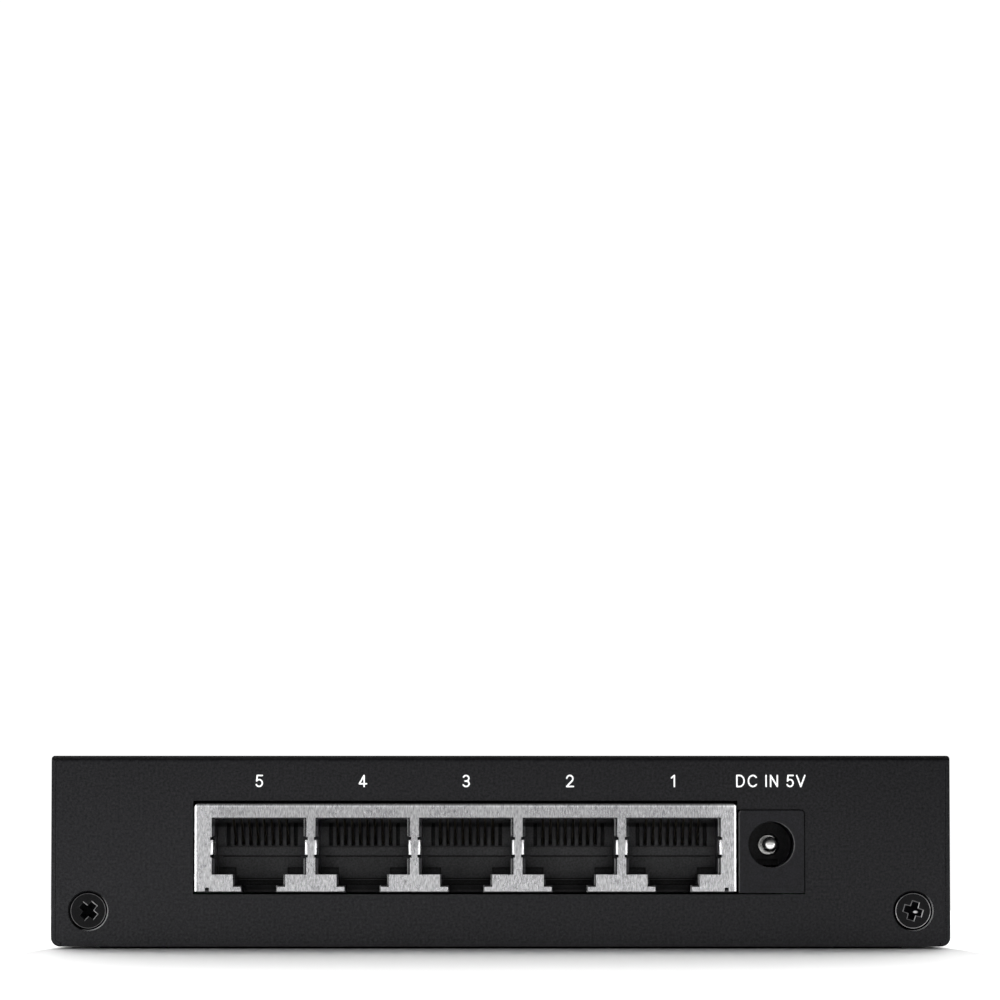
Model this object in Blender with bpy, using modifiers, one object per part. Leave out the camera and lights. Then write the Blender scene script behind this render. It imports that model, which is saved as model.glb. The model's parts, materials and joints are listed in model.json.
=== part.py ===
"""Five-port desktop network switch: a folded steel case with its boards, jacks and fasteners inside.

Lengths are in millimetres and are scaled to metres where a mesh is made. X runs to the right as seen
from behind, the sockets look along -Y, +Z is up, and the feet stand on z = 0.
"""

import math

import bmesh
import bpy
from mathutils import Matrix, Vector

MM = 0.001

# Case
CASE_WIDTH = 121.2
CASE_DEPTH = 79.0
CASE_HEIGHT = 26.0
FOOT_PROUD = 0.3
SHEET = 0.55
SEAM = 0.06
FLOOR_BEND = 1.2
ROOF_EDGE = 0.4
HALF_WIDTH = CASE_WIDTH / 2
REAR_END = -CASE_DEPTH / 2
FRONT_END = CASE_DEPTH / 2
SHIELD_PROUD = 0.4
PANEL_Y = REAR_END + SHIELD_PROUD
PANEL_INNER_Y = PANEL_Y + SHEET
FLOOR_TOP = FOOT_PROUD + SHEET
ROOF_BOTTOM = CASE_HEIGHT - SHEET

# Front
BEZEL_THICK = 2.6
BEZEL_BACK = FRONT_END - BEZEL_THICK
WALL_FRONT = BEZEL_BACK - 0.3
LED_Z = 8.5
LED_X = (4.0, 12.0, 20.0, 28.0, 36.0, 48.0)
LED_WINDOW = (2.4, 1.4)
HOOK_X = 52.0
HOOK_HALF = 1.8
HOOK_SLOT_HALF = HOOK_HALF + 0.5

# Wall-mounting keyholes, vents and feet
KEYHOLE_X = 42.0
KEYHOLE_HEAD_R = 3.75
KEYHOLE_SLOT_R = 1.8
KEYHOLE_RUN = 7.0
VENT_COUNT = 14
VENT_PITCH = 3.6
VENT_WIDTH = 1.6
VENT_Z = (10.0, 19.0)
VENT_CENTRE_Y = 2.0
FOOT_X = 50.0
FOOT_Y = 30.0
FOOT_R = 4.8
DIMPLE_R = 5.4
DIMPLE_DEEP = 1.1

# Board and what stands on it
BOARD_TOP = 7.3
BOARD_THICK = 1.6
BOARD_BOTTOM = BOARD_TOP - BOARD_THICK
BOARD_X = 56.0
BOARD_Y = (-38.2, 33.0)
BOARD_HOLES = ((-50.0, -16.0), (50.0, -16.0), (-50.0, 18.0), (50.0, 18.0))
REST_GAP = 0.15

# Sockets
PORT_PITCH = 13.97
PORT_COUNT = 5
FIRST_PORT_X = -32.57
SHIELD_X = (-41.35, 31.85)
SHIELD_Z = (7.71, 19.57)
SHIELD_DEPTH = 19.0
SHIELD_SHEET = 0.3
SHIELD_BEND = 0.45
SHIELD_CORNER = 0.5
MOUTH_HALF = 6.38
MOUTH_Z = (9.97, 17.65)
LATCH_HALF = 3.52
LATCH_Z = 8.33
SLOT_HALF = 2.45
FINGER_Z = (12.66, 14.64)
FINGER_PROUD = 0.27
FINGER_LONG = 5.2
FINGER_BEND = 0.44
FINGER_RELIEF = 0.40
CAVITY_HALF = 6.02
CAVITY_BACK = -28.3
STEP_FACE = -28.75
LATCH_CHANNEL_HALF = 3.3
COMB_Z = (13.9, 16.98)
COMB_PITCH = 1.02
COMB_SLITS = 10
CONTACTS = 8
CONTACT_PIVOT = (-36.3, 18.0)
CONTACT_END = (-28.0, 14.25)

# Power socket
DC_X = (32.12, 40.93)
DC_Z = (7.48, 18.62)
DC_FACE = REAR_END + 0.2
DC_BACK = -25.0
DC_CORNER = 0.45
DC_BORE = (36.50, 14.03)
DC_BORE_R = 3.1
DC_PIN_R = 1.05
SPRING_PIVOT = (-29.4, 10.35)
SPRING_FRONT = -37.6

# Cover screws
SCREW_X = 55.6
SCREW_Z = 5.1
SCREW_HEAD_R = 2.4
SINK_R = 2.75
SINK_WALL = 0.35
SINK_DEEP = 1.3
SHANK_R = 1.45
SCREW_HOLE_R = SHANK_R + 0.2
TAB_Y = (-36.9, -36.1)

# Colours: (red, green, blue), metallic, roughness
FINISHES = {
    "powder_coat": ((0.024, 0.024, 0.026), 0.0, 0.55),
    "black_plastic": ((0.012, 0.012, 0.013), 0.0, 0.45),
    "tinned_steel": ((0.60, 0.60, 0.61), 1.0, 0.32),
    "gold_contact": ((0.75, 0.55, 0.20), 1.0, 0.28),
    "clear_plastic": ((0.80, 0.82, 0.82), 0.0, 0.15),
    "rubber": ((0.020, 0.020, 0.020), 0.0, 0.85),
    "board_green": ((0.010, 0.085, 0.035), 0.0, 0.50),
    "chip_black": ((0.020, 0.020, 0.022), 0.0, 0.60),
    "zinc_screw": ((0.55, 0.55, 0.52), 1.0, 0.35),
    "brass": ((0.70, 0.52, 0.24), 1.0, 0.35),
    "led_lens": ((0.75, 0.85, 0.75), 0.0, 0.25),
    "ferrite": ((0.045, 0.043, 0.042), 0.0, 0.70),
    "can_aluminium": ((0.62, 0.63, 0.64), 1.0, 0.30),
}


def clear_scene():
    for obj in list(bpy.data.objects):
        bpy.data.objects.remove(obj, do_unlink=True)


def new_collection(name, helper=False):
    made = bpy.data.collections.new(name)
    bpy.context.scene.collection.children.link(made)
    made.hide_render = helper
    return made


def finish_material(node, finish):
    colour, metallic, roughness = FINISHES[finish]
    made = bpy.data.materials.new(f"{node}_{finish}")
    made.use_nodes = True
    shader = made.node_tree.nodes["Principled BSDF"]
    shader.inputs["Base Color"].default_value = (*colour, 1.0)
    shader.inputs["Metallic"].default_value = metallic
    shader.inputs["Roughness"].default_value = roughness
    return made


def adopt(obj, name, collection, finish=None):
    """Names an object, moves it to its collection and gives it its material."""
    obj.name = name
    obj.data.name = name
    for owner in list(obj.users_collection):
        owner.objects.unlink(obj)
    collection.objects.link(obj)
    if collection.hide_render:
        obj.hide_render = True
        obj.display_type = "WIRE"
    if finish:
        obj.data.materials.append(finish_material(name, finish))
    return obj


def mesh_object(bm, name, collection, finish=None):
    bmesh.ops.recalc_face_normals(bm, faces=bm.faces)
    mesh = bpy.data.meshes.new(name)
    bm.to_mesh(mesh)
    bm.free()
    return adopt(bpy.data.objects.new(name, mesh), name, collection, finish)


def add_box(bm, x, y, z):
    """Adds a box to a mesh. Each of x, y and z is a (low, high) pair in millimetres."""
    size = Matrix.Diagonal((x[1] - x[0], y[1] - y[0], z[1] - z[0], 1.0))
    middle = Vector((x[0] + x[1], y[0] + y[1], z[0] + z[1])) / 2
    bmesh.ops.create_cube(bm, size=1.0, matrix=Matrix.Scale(MM, 4) @ Matrix.Translation(middle) @ size)


def boxes(name, spans, collection, finish=None):
    """One object holding a box for each (x, y, z) in spans."""
    bm = bmesh.new()
    for x, y, z in spans:
        add_box(bm, x, y, z)
    return mesh_object(bm, name, collection, finish)


def turn_to(axis):
    """The rotation that takes +Z to the given axis."""
    return Vector((0, 0, 1)).rotation_difference(Vector(axis)).to_matrix().to_4x4()


def add_cone(bm, base, axis, length, base_r, tip_r, sides):
    """Adds a closed cone or cylinder that starts at base and runs along axis, in millimetres."""
    lift = Matrix.Translation((0, 0, length / 2))
    place = Matrix.Scale(MM, 4) @ Matrix.Translation(base) @ turn_to(axis) @ lift
    bmesh.ops.create_cone(
        bm, cap_ends=True, segments=sides, radius1=base_r, radius2=tip_r, depth=length, matrix=place
    )


def rod(name, base, axis, length, radius, collection, finish=None, tip=None, sides=24):
    bm = bmesh.new()
    add_cone(bm, base, axis, length, radius, radius if tip is None else tip, sides)
    return mesh_object(bm, name, collection, finish)


def arc(centre, radius, start, end, steps):
    """Points along an arc, angles in degrees."""
    angles = [math.radians(start + (end - start) * i / steps) for i in range(steps + 1)]
    return [(centre[0] + radius * math.cos(a), centre[1] + radius * math.sin(a)) for a in angles]


PLANES = {
    "XY": Matrix.Identity(4),
    "XZ": Matrix(((1, 0, 0, 0), (0, 0, -1, 0), (0, 1, 0, 0), (0, 0, 0, 1))),
    "YZ": Matrix(((0, 0, 1, 0), (1, 0, 0, 0), (0, 1, 0, 0), (0, 0, 0, 1))),
}
NORMALS = {"XY": (0, 0, 1), "XZ": (0, 1, 0), "YZ": (1, 0, 0)}


def extruded(name, outlines, plane, low, high, collection, finish=None):
    """A flat plate with one outline and any holes, drawn in a plane and running from low to high."""
    curve = bpy.data.curves.new(name, "CURVE")
    curve.dimensions = "2D"
    curve.fill_mode = "BOTH"
    curve.extrude = (high - low) / 2 * MM
    for outline in outlines:
        spline = curve.splines.new("POLY")
        spline.points.add(len(outline) - 1)
        for point, (u, v) in zip(spline.points, outline):
            point.co = (u * MM, v * MM, 0.0, 1.0)
        spline.use_cyclic_u = True
    drawn = bpy.data.objects.new(name + "_outline", curve)
    bpy.context.scene.collection.objects.link(drawn)
    middle = Vector(NORMALS[plane]) * ((low + high) / 2 * MM)
    drawn.matrix_world = Matrix.Translation(middle) @ PLANES[plane]
    bpy.context.view_layer.update()
    graph = bpy.context.evaluated_depsgraph_get()
    mesh = bpy.data.meshes.new_from_object(drawn.evaluated_get(graph))
    bm = bmesh.new()
    bm.from_mesh(mesh)
    bmesh.ops.remove_doubles(bm, verts=bm.verts, dist=1e-6)
    bpy.data.meshes.remove(mesh)
    made = mesh_object(bm, name, collection, finish)
    made.matrix_world = drawn.matrix_world
    bpy.data.objects.remove(drawn, do_unlink=True)
    bpy.data.curves.remove(curve)
    return made


def combine(target, other, operation):
    modifier = target.modifiers.new(f"{operation.lower()}_{other.name}", "BOOLEAN")
    modifier.operation = operation
    modifier.solver = "EXACT"
    modifier.object = other
    return target


def cut(target, cutter):
    return combine(target, cutter, "DIFFERENCE")


def join(target, other):
    return combine(target, other, "UNION")


def soften(obj, width, segments=1, angle=40.0):
    """Rounds an object's sharper edges."""
    modifier = obj.modifiers.new("edges", "BEVEL")
    modifier.width = width * MM
    modifier.segments = segments
    modifier.limit_method = "ANGLE"
    modifier.angle_limit = math.radians(angle)
    return obj


def smooth_round(obj, angle=35.0):
    obj.data.shade_smooth()
    obj.data.set_sharp_from_angle(angle=math.radians(angle))
    return obj


def set_origin(obj, point):
    """Moves an object's origin to a point in millimetres, leaving its shape where it is."""
    goal = Vector(point) * MM
    shift = obj.matrix_world.inverted() @ goal
    obj.data.transform(Matrix.Translation(-shift))
    obj.matrix_world.translation = goal


def port_centres():
    """Socket centres from 5 at the left to 1 at the right, seen from behind."""
    return [FIRST_PORT_X + PORT_PITCH * i for i in range(PORT_COUNT)]


def base_tray(parts, helpers):
    """Floor and side walls folded from one sheet, with the front wall and two rear screw tabs."""
    bend = HALF_WIDTH - FLOOR_BEND
    inner = FLOOR_BEND - SHEET
    centre_z = FOOT_PROUD + FLOOR_BEND
    wall_top = ROOF_BOTTOM - SEAM
    outline = [(HALF_WIDTH, wall_top)]
    outline += arc((bend, centre_z), FLOOR_BEND, 0, -90, 6)
    outline += arc((-bend, centre_z), FLOOR_BEND, -90, -180, 6)
    outline += [(-HALF_WIDTH, wall_top), (-HALF_WIDTH + SHEET, wall_top)]
    outline += arc((-bend, centre_z), inner, 180, 270, 6)
    outline += arc((bend, centre_z), inner, 270, 360, 6)
    outline += [(HALF_WIDTH - SHEET, wall_top)]
    tray = extruded("base_tray", [outline], "XZ", PANEL_Y, WALL_FRONT, parts, "powder_coat")

    wall_x = HALF_WIDTH - SHEET / 2
    wall = (
        (-wall_x, wall_x), (WALL_FRONT - SHEET, WALL_FRONT - 0.02), (FLOOR_TOP - 0.2, wall_top - 0.02)
    )
    join(tray, boxes("front_wall_shape", [wall], helpers))
    for side, label in ((-1, "left"), (1, "right")):
        reach = sorted((side * 51.8, side * wall_x))
        tab = boxes(f"tab_{label}_shape", [(reach, TAB_Y, (1.6, 9.4))], helpers)
        collar = rod(
            f"tab_collar_{label}", (side * SCREW_X, TAB_Y[1] - 0.1, SCREW_Z), (0, 1, 0), 1.6, 2.6, helpers
        )
        join(tray, tab)
        join(tray, collar)
    for foot, (x, y) in foot_places().items():
        join(
            tray,
            rod(
                f"dimple_{foot}",
                (x, y, FLOOR_TOP - 0.1),
                (0, 0, 1),
                DIMPLE_DEEP + 0.1,
                DIMPLE_R + SHEET,
                helpers,
            ),
        )
    cut(tray, tray_openings(helpers))
    cut(tray, keyholes(helpers))
    return tray


def tray_openings(helpers):
    """Everything round or square cut out of the tray, as one cutter of separate closed shapes."""
    bm = bmesh.new()
    lap = HALF_WIDTH - FLOOR_BEND - 0.1
    add_box(bm, (-lap, lap), (PANEL_Y - 1.0, PANEL_INNER_Y + SEAM), (-1.0, FLOOR_TOP + 0.5))
    first_y = VENT_CENTRE_Y - VENT_PITCH * (VENT_COUNT - 1) / 2
    for i in range(VENT_COUNT):
        y = first_y + VENT_PITCH * i
        for side in (-1, 1):
            x = sorted((side * (HALF_WIDTH - 1.5), side * (HALF_WIDTH + 1.0)))
            add_box(bm, x, (y - VENT_WIDTH / 2, y + VENT_WIDTH / 2), VENT_Z)
    for x in LED_X:
        span = (x - LED_WINDOW[0] / 2 - 0.3, x + LED_WINDOW[0] / 2 + 0.3)
        height = (LED_Z - LED_WINDOW[1] / 2 - 0.3, LED_Z + LED_WINDOW[1] / 2 + 0.3)
        add_box(bm, span, (WALL_FRONT - 1.5, WALL_FRONT + 1.0), height)
    for side in (-1, 1):
        slot = (side * HOOK_X - HOOK_SLOT_HALF, side * HOOK_X + HOOK_SLOT_HALF)
        add_box(bm, slot, (WALL_FRONT - 1.5, WALL_FRONT + 1.0), (15.7, 18.3))
        add_cone(
            bm,
            (side * SCREW_X, TAB_Y[0] - 0.5, SCREW_Z),
            (0, 1, 0),
            4.0,
            SCREW_HOLE_R,
            SCREW_HOLE_R,
            24,
        )
    for x, y in foot_places().values():
        add_cone(bm, (x, y, FOOT_PROUD - 1.0), (0, 0, 1), DIMPLE_DEEP + 1.0, DIMPLE_R, DIMPLE_R, 24)
    return mesh_object(bm, "tray_openings", helpers)


def keyholes(helpers):
    """Two keyholes for hanging the case on wall screws: a round head hole that narrows to a slot."""
    meet = math.degrees(math.asin(KEYHOLE_SLOT_R / KEYHOLE_HEAD_R))
    outlines = []
    for side in (-1, 1):
        centre = (side * KEYHOLE_X, -3.0)
        outline = arc(centre, KEYHOLE_HEAD_R, 90 + meet, 450 - meet, 20)
        outline += arc((centre[0], centre[1] + KEYHOLE_RUN), KEYHOLE_SLOT_R, 0, 180, 8)
        outlines.append(outline)
    return extruded("keyhole_shapes", outlines, "XY", FOOT_PROUD - 1.0, FLOOR_TOP + 1.0, helpers)


def foot_places():
    names = ("foot_rear_left", "foot_rear_right", "foot_front_left", "foot_front_right")
    places = ((-FOOT_X, -FOOT_Y), (FOOT_X, -FOOT_Y), (-FOOT_X, FOOT_Y), (FOOT_X, FOOT_Y))
    return dict(zip(names, places))


def top_cover(parts, helpers):
    """Roof and rear panel folded from one sheet, with the socket cut-out and two screw dimples."""
    bend = 0.9
    centre = (PANEL_Y + bend, CASE_HEIGHT - bend)
    front = WALL_FRONT
    profile = [(PANEL_Y, FOOT_PROUD)]
    profile += arc(centre, bend, 180, 90, 5)
    profile += [(front, CASE_HEIGHT), (front, ROOF_BOTTOM)]
    profile += arc(centre, bend - SHEET, 90, 180, 5)
    profile += [(PANEL_INNER_Y, FOOT_PROUD)]
    cover = extruded("top_cover", [profile], "YZ", -HALF_WIDTH, HALF_WIDTH, parts, "powder_coat")
    for side, label in ((-1, "left"), (1, "right")):
        boss = rod(
            f"dimple_back_{label}", (side * SCREW_X, PANEL_INNER_Y - 0.1, SCREW_Z), (0, 1, 0),
            SINK_DEEP - 0.05, SINK_R + 0.5, helpers, tip=SHANK_R + 0.8, sides=32,
        )
        join(cover, boss)
    cut(cover, cover_trims(helpers))
    cut(cover, socket_window(helpers))
    for side, label in ((-1, "left"), (1, "right")):
        mouth = (side * SCREW_X, PANEL_Y - 0.3, SCREW_Z)
        cut(
            cover, rod(f"sink_wall_{label}", mouth, (0, 1, 0), SINK_WALL + 0.3, SINK_R, helpers, sides=48)
        )
        seat = (side * SCREW_X, PANEL_Y + SINK_WALL - 0.01, SCREW_Z)
        cone = rod(
            f"sink_cone_{label}",
            seat,
            (0, 1, 0),
            SINK_DEEP - SINK_WALL,
            SINK_R - 0.05,
            helpers,
            tip=SCREW_HOLE_R,
            sides=48,
        )
        cut(cover, cone)
        cut(
            cover,
            rod(
                f"clearance_{label}",
                (side * SCREW_X, PANEL_Y, SCREW_Z),
                (0, 1, 0),
                4.0,
                SCREW_HOLE_R,
                helpers,
                sides=32,
            ),
        )
    return cover


def cover_trims(helpers):
    """What is trimmed from the folded sheet: the panel's sides and corners, and the roof's edges."""
    bm = bmesh.new()
    seam_x = HALF_WIDTH - SHEET - SEAM
    below_roof = ROOF_BOTTOM - SEAM
    for side in (-1, 1):
        beyond = side * (HALF_WIDTH + 2.0)
        add_box(
            bm, sorted((side * seam_x, beyond)), (PANEL_Y - 2.0, PANEL_INNER_Y + 0.5), (-1.0, below_roof)
        )
    trims = mesh_object(bm, "cover_trims", helpers)
    lower = corner_trim(helpers)
    roof = roof_edge_trim(helpers)
    join(trims, lower)
    join(trims, roof)
    return trims


def corner_trim(helpers):
    """Follows the inside of the tray's floor bend at both lower corners of the rear panel."""
    bend_x = HALF_WIDTH - FLOOR_BEND
    centre_z = FOOT_PROUD + FLOOR_BEND
    radius = FLOOR_BEND - SHEET - SEAM
    foot_x = bend_x - 0.2
    outlines = []
    for side in (-1, 1):
        curve = arc((bend_x, centre_z), radius, 0, -90, 5)
        outline = [(HALF_WIDTH + 1.0, centre_z + 0.001)] + curve + [
            (foot_x, centre_z - radius), (foot_x, -1.0)
        ]
        outline += [(HALF_WIDTH + 1.0, -1.0)]
        outlines.append([(side * u, v) for u, v in outline])
    return extruded("corner_trim", outlines, "XZ", PANEL_Y - 1.9, PANEL_INNER_Y + 0.4, helpers)


def roof_edge_trim(helpers):
    """Rounds the roof's two long upper edges."""
    centre = (HALF_WIDTH - ROOF_EDGE, CASE_HEIGHT - ROOF_EDGE)
    outlines = []
    for side in (-1, 1):
        outline = arc(centre, ROOF_EDGE, 0, 90, 4) + [
            (centre[0], CASE_HEIGHT + 1), (HALF_WIDTH + 1, CASE_HEIGHT + 1)
        ]
        outline += [(HALF_WIDTH + 1, centre[1])]
        outlines.append([(side * u, v) for u, v in outline])
    return extruded("roof_edge_trim", outlines, "XZ", REAR_END - 1.0, FRONT_END + 1.0, helpers)


def socket_window(helpers):
    """The stepped cut-out that the socket block and the power socket share."""
    gap = 0.12
    left = SHIELD_X[0] - gap
    step = SHIELD_X[1] + gap
    right = DC_X[1] + gap
    low = BOARD_TOP
    tall = SHIELD_Z[1] + 0.35
    short = DC_Z[1] + gap
    corner = DC_CORNER + gap
    outline = [(left, low), (right, low)]
    outline += arc((right - corner, short - corner), corner, 0, 90, 4)
    outline += [(step, short), (step, tall), (left, tall)]
    return extruded("socket_window", [outline], "XZ", PANEL_Y - 1.0, PANEL_INNER_Y + 1.0, helpers)


def front_bezel(parts, helpers):
    """Plastic front with a window for each lamp, a pocket for the light guide and two clips."""
    half = HALF_WIDTH
    low = FOOT_PROUD
    corner = 1.4
    outline = arc((half - corner, CASE_HEIGHT - corner), corner, 0, 90, 4)
    outline += arc((-half + corner, CASE_HEIGHT - corner), corner, 90, 180, 4)
    outline += arc((-half + corner, low + corner), corner, 180, 270, 4)
    outline += arc((half - corner, low + corner), corner, 270, 360, 4)
    bezel = extruded("front_bezel", [outline], "XZ", BEZEL_BACK, FRONT_END, parts, "black_plastic")
    edge = bezel.modifiers.new("front_edge", "BEVEL")
    edge.width = 0.6 * MM
    edge.segments = 2
    edge.limit_method = "ANGLE"
    edge.angle_limit = math.radians(60)

    bm = bmesh.new()
    for side in (-1, 1):
        hook = (side * HOOK_X - HOOK_HALF, side * HOOK_X + HOOK_HALF)
        add_box(bm, hook, (WALL_FRONT - 3.2, BEZEL_BACK + 0.5), (16.2, 17.4))
    join(bezel, mesh_object(bm, "bezel_clips", helpers))
    bm = bmesh.new()
    for side in (-1, 1):
        hook = (side * HOOK_X - HOOK_HALF, side * HOOK_X + HOOK_HALF)
        add_box(bm, hook, (WALL_FRONT - 3.2, WALL_FRONT - SHEET - 0.2), (17.3, 18.0))
    join(bezel, mesh_object(bm, "bezel_clip_hooks", helpers))

    bm = bmesh.new()
    pocket_x = (min(LED_X) - 3.0, max(LED_X) + 3.0)
    add_box(bm, pocket_x, (BEZEL_BACK - 0.5, BEZEL_BACK + 1.3), (LED_Z - 1.8, LED_Z + 1.8))
    cut(bezel, mesh_object(bm, "bezel_pocket", helpers))
    bm = bmesh.new()
    for x in LED_X:
        height = (LED_Z - LED_WINDOW[1] / 2, LED_Z + LED_WINDOW[1] / 2)
        add_box(bm, (x - LED_WINDOW[0] / 2, x + LED_WINDOW[0] / 2), (BEZEL_BACK, FRONT_END + 1.0), height)
    cut(bezel, mesh_object(bm, "bezel_windows", helpers))
    return bezel


def light_pipe(parts, helpers):
    """Clear moulding that carries each lamp's light from the board to its window."""
    bar = (
        (min(LED_X) - 2.6, max(LED_X) + 2.6),
        (BEZEL_BACK + 0.2, BEZEL_BACK + 1.1),
        (LED_Z - 1.4, LED_Z + 1.4),
    )
    pipe = boxes("light_pipe", [bar], parts, "clear_plastic")
    bm = bmesh.new()
    half_x = LED_WINDOW[0] / 2 - 0.15
    half_z = LED_WINDOW[1] / 2 - 0.15
    for x in LED_X:
        add_box(
            bm,
            (x - half_x, x + half_x),
            (BOARD_Y[1] + 0.3, FRONT_END - 0.15),
            (LED_Z - half_z, LED_Z + half_z),
        )
    return join(pipe, mesh_object(bm, "light_guides", helpers))


def feet(parts):
    for name, (x, y) in foot_places().items():
        foot = rod(
            name, (x, y, 0.0), (0, 0, 1), FOOT_PROUD + DIMPLE_DEEP - REST_GAP, FOOT_R, parts, "rubber"
        )
        smooth_round(soften(foot, 0.25))


def circuit_board(parts, helpers):
    """The board, notched at its rear corners for the case's screw tabs."""
    notch_x = 50.6
    notch_y = -32.8
    rear, front = BOARD_Y
    outline = [
        (-notch_x, rear), (notch_x, rear), (notch_x, notch_y), (BOARD_X, notch_y), (BOARD_X, front)
    ]
    outline += [(-BOARD_X, front), (-BOARD_X, notch_y), (-notch_x, notch_y)]
    holes = [arc(place, 1.7, 0, 345, 23) for place in BOARD_HOLES]
    return extruded(
        "circuit_board", [outline] + holes, "XY", BOARD_BOTTOM, BOARD_TOP, parts, "board_green"
    )


def board_fixings(parts, helpers):
    """A hexagonal standoff under each board hole and a pan-head screw through it."""
    for number, (x, y) in enumerate(BOARD_HOLES, 1):
        bottom = FLOOR_TOP + REST_GAP
        height = BOARD_BOTTOM - REST_GAP - bottom
        standoff = rod(
            f"standoff_{number}", (x, y, bottom), (0, 0, 1), height, 3.0, parts, "brass", sides=6
        )
        cut(
            standoff,
            rod(
                f"standoff_bore_{number}", (x, y, bottom + 0.6), (0, 0, 1), height, 1.5, helpers, sides=20
            ),
        )
        seat = BOARD_TOP + REST_GAP
        screw = rod(f"board_screw_{number}", (x, y, seat), (0, 0, 1), 1.7, 2.7, parts, "zinc_screw")
        join(
            screw,
            rod(
                f"board_shank_{number}",
                (x, y, bottom + 1.2),
                (0, 0, 1),
                seat - bottom - 1.0,
                1.25,
                helpers,
                sides=20,
            ),
        )
        slot = boxes(
            f"board_slot_{number}",
            [((x - 1.9, x + 1.9), (y - 0.3, y + 0.3), (seat + 0.8, seat + 3.0))],
            helpers,
        )
        cross = boxes(
            f"board_cross_{number}",
            [((x - 0.3, x + 0.3), (y - 1.9, y + 1.9), (seat + 0.8, seat + 3.0))],
            helpers,
        )
        cut(cut(screw, slot), cross)
        smooth_round(screw)


def mouth_outline(x):
    """One socket's opening in the shield: body, latch notch and the slot open at the bottom edge."""
    low, high = MOUTH_Z
    relief_half = MOUTH_HALF + 0.2
    relief_low = FINGER_Z[0] - FINGER_RELIEF
    relief_high = FINGER_Z[1] + FINGER_RELIEF
    half = [
        (SLOT_HALF, SHIELD_Z[0] - 1.0), (SLOT_HALF, LATCH_Z), (LATCH_HALF, LATCH_Z), (LATCH_HALF, low)
    ]
    half += [(MOUTH_HALF, low), (MOUTH_HALF, relief_low), (relief_half, relief_low)]
    half += [(relief_half, relief_high), (MOUTH_HALF, relief_high), (MOUTH_HALF, high)]
    return [(x + u, v) for u, v in half] + [(x - u, v) for u, v in reversed(half)]


def finger_outline(x, side):
    """A grounding finger in plan: it leaves the web, bends inward and runs along the cavity."""
    near = MOUTH_HALF - FINGER_PROUD
    root = MOUTH_HALF + 0.4
    front = REAR_END + 0.01
    thick = SHIELD_SHEET - 0.02
    centre = (near + FINGER_BEND, front + FINGER_BEND)
    outline = [(root, front)] + arc(centre, FINGER_BEND, 270, 180, 4)
    outline += [(near, REAR_END + FINGER_LONG), (near + thick, REAR_END + FINGER_LONG)]
    outline += arc(centre, FINGER_BEND - thick, 180, 270, 3) + [(root, front + thick)]
    return [(x + side * u, y) for u, y in outline]


def shield_corners(helpers):
    """The clipped upper corners of the shield."""
    reach = SHIELD_CORNER + 1.0
    top = SHIELD_Z[1]
    outlines = []
    for x, side in ((SHIELD_X[0], 1), (SHIELD_X[1], -1)):
        outlines.append([(x - side, top - reach), (x - side, top + 1.0), (x + side * reach, top + 1.0)])
    return extruded(
        "shield_corners", outlines, "XZ", REAR_END - 1.0, REAR_END + SHIELD_DEPTH + 1.0, helpers
    )


def jack_shield(parts, helpers):
    """Pressed steel shield over the five sockets, open below, with grounding fingers at each mouth."""
    x_low, x_high = SHIELD_X
    z_low, z_high = SHIELD_Z
    back = REAR_END + SHIELD_DEPTH
    bend_y = REAR_END + SHIELD_BEND
    plan = [(x_high, back), (x_low, back)]
    plan += arc((x_low + SHIELD_BEND, bend_y), SHIELD_BEND, 180, 270, 4)
    plan += arc((x_high - SHIELD_BEND, bend_y), SHIELD_BEND, 270, 360, 4)
    shield = extruded("jack_shield", [plan], "XY", z_low, z_high, parts, "tinned_steel")
    cut(shield, shield_corners(helpers))
    t = SHIELD_SHEET
    inside = ((x_low + t, x_high - t), (REAR_END + t, back - t), (z_low - 1.0, z_high - t))
    cut(shield, boxes("shield_hollow", [inside], helpers))
    notches = [
        ((x_low + 1.5, x_low + 2.05), (REAR_END - 1.0, REAR_END + 1.0), (z_low - 1.0, z_low + 0.5)),
        ((x_high - 1.65, x_high - 1.1), (REAR_END - 1.0, REAR_END + 1.0), (z_low - 1.0, z_low + 0.5)),
    ]
    cut(shield, boxes("shield_end_notches", notches, helpers))
    for number, x in zip(range(PORT_COUNT, 0, -1), port_centres()):
        mouth = extruded(
            f"mouth_{number}", [mouth_outline(x)], "XZ", REAR_END - 1.0, REAR_END + 1.0, helpers
        )
        cut(shield, mouth)
    fingers = [finger_outline(x, side) for x in port_centres() for side in (-1, 1)]
    return join(shield, extruded("shield_fingers", fingers, "XY", *FINGER_Z, helpers))


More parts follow.
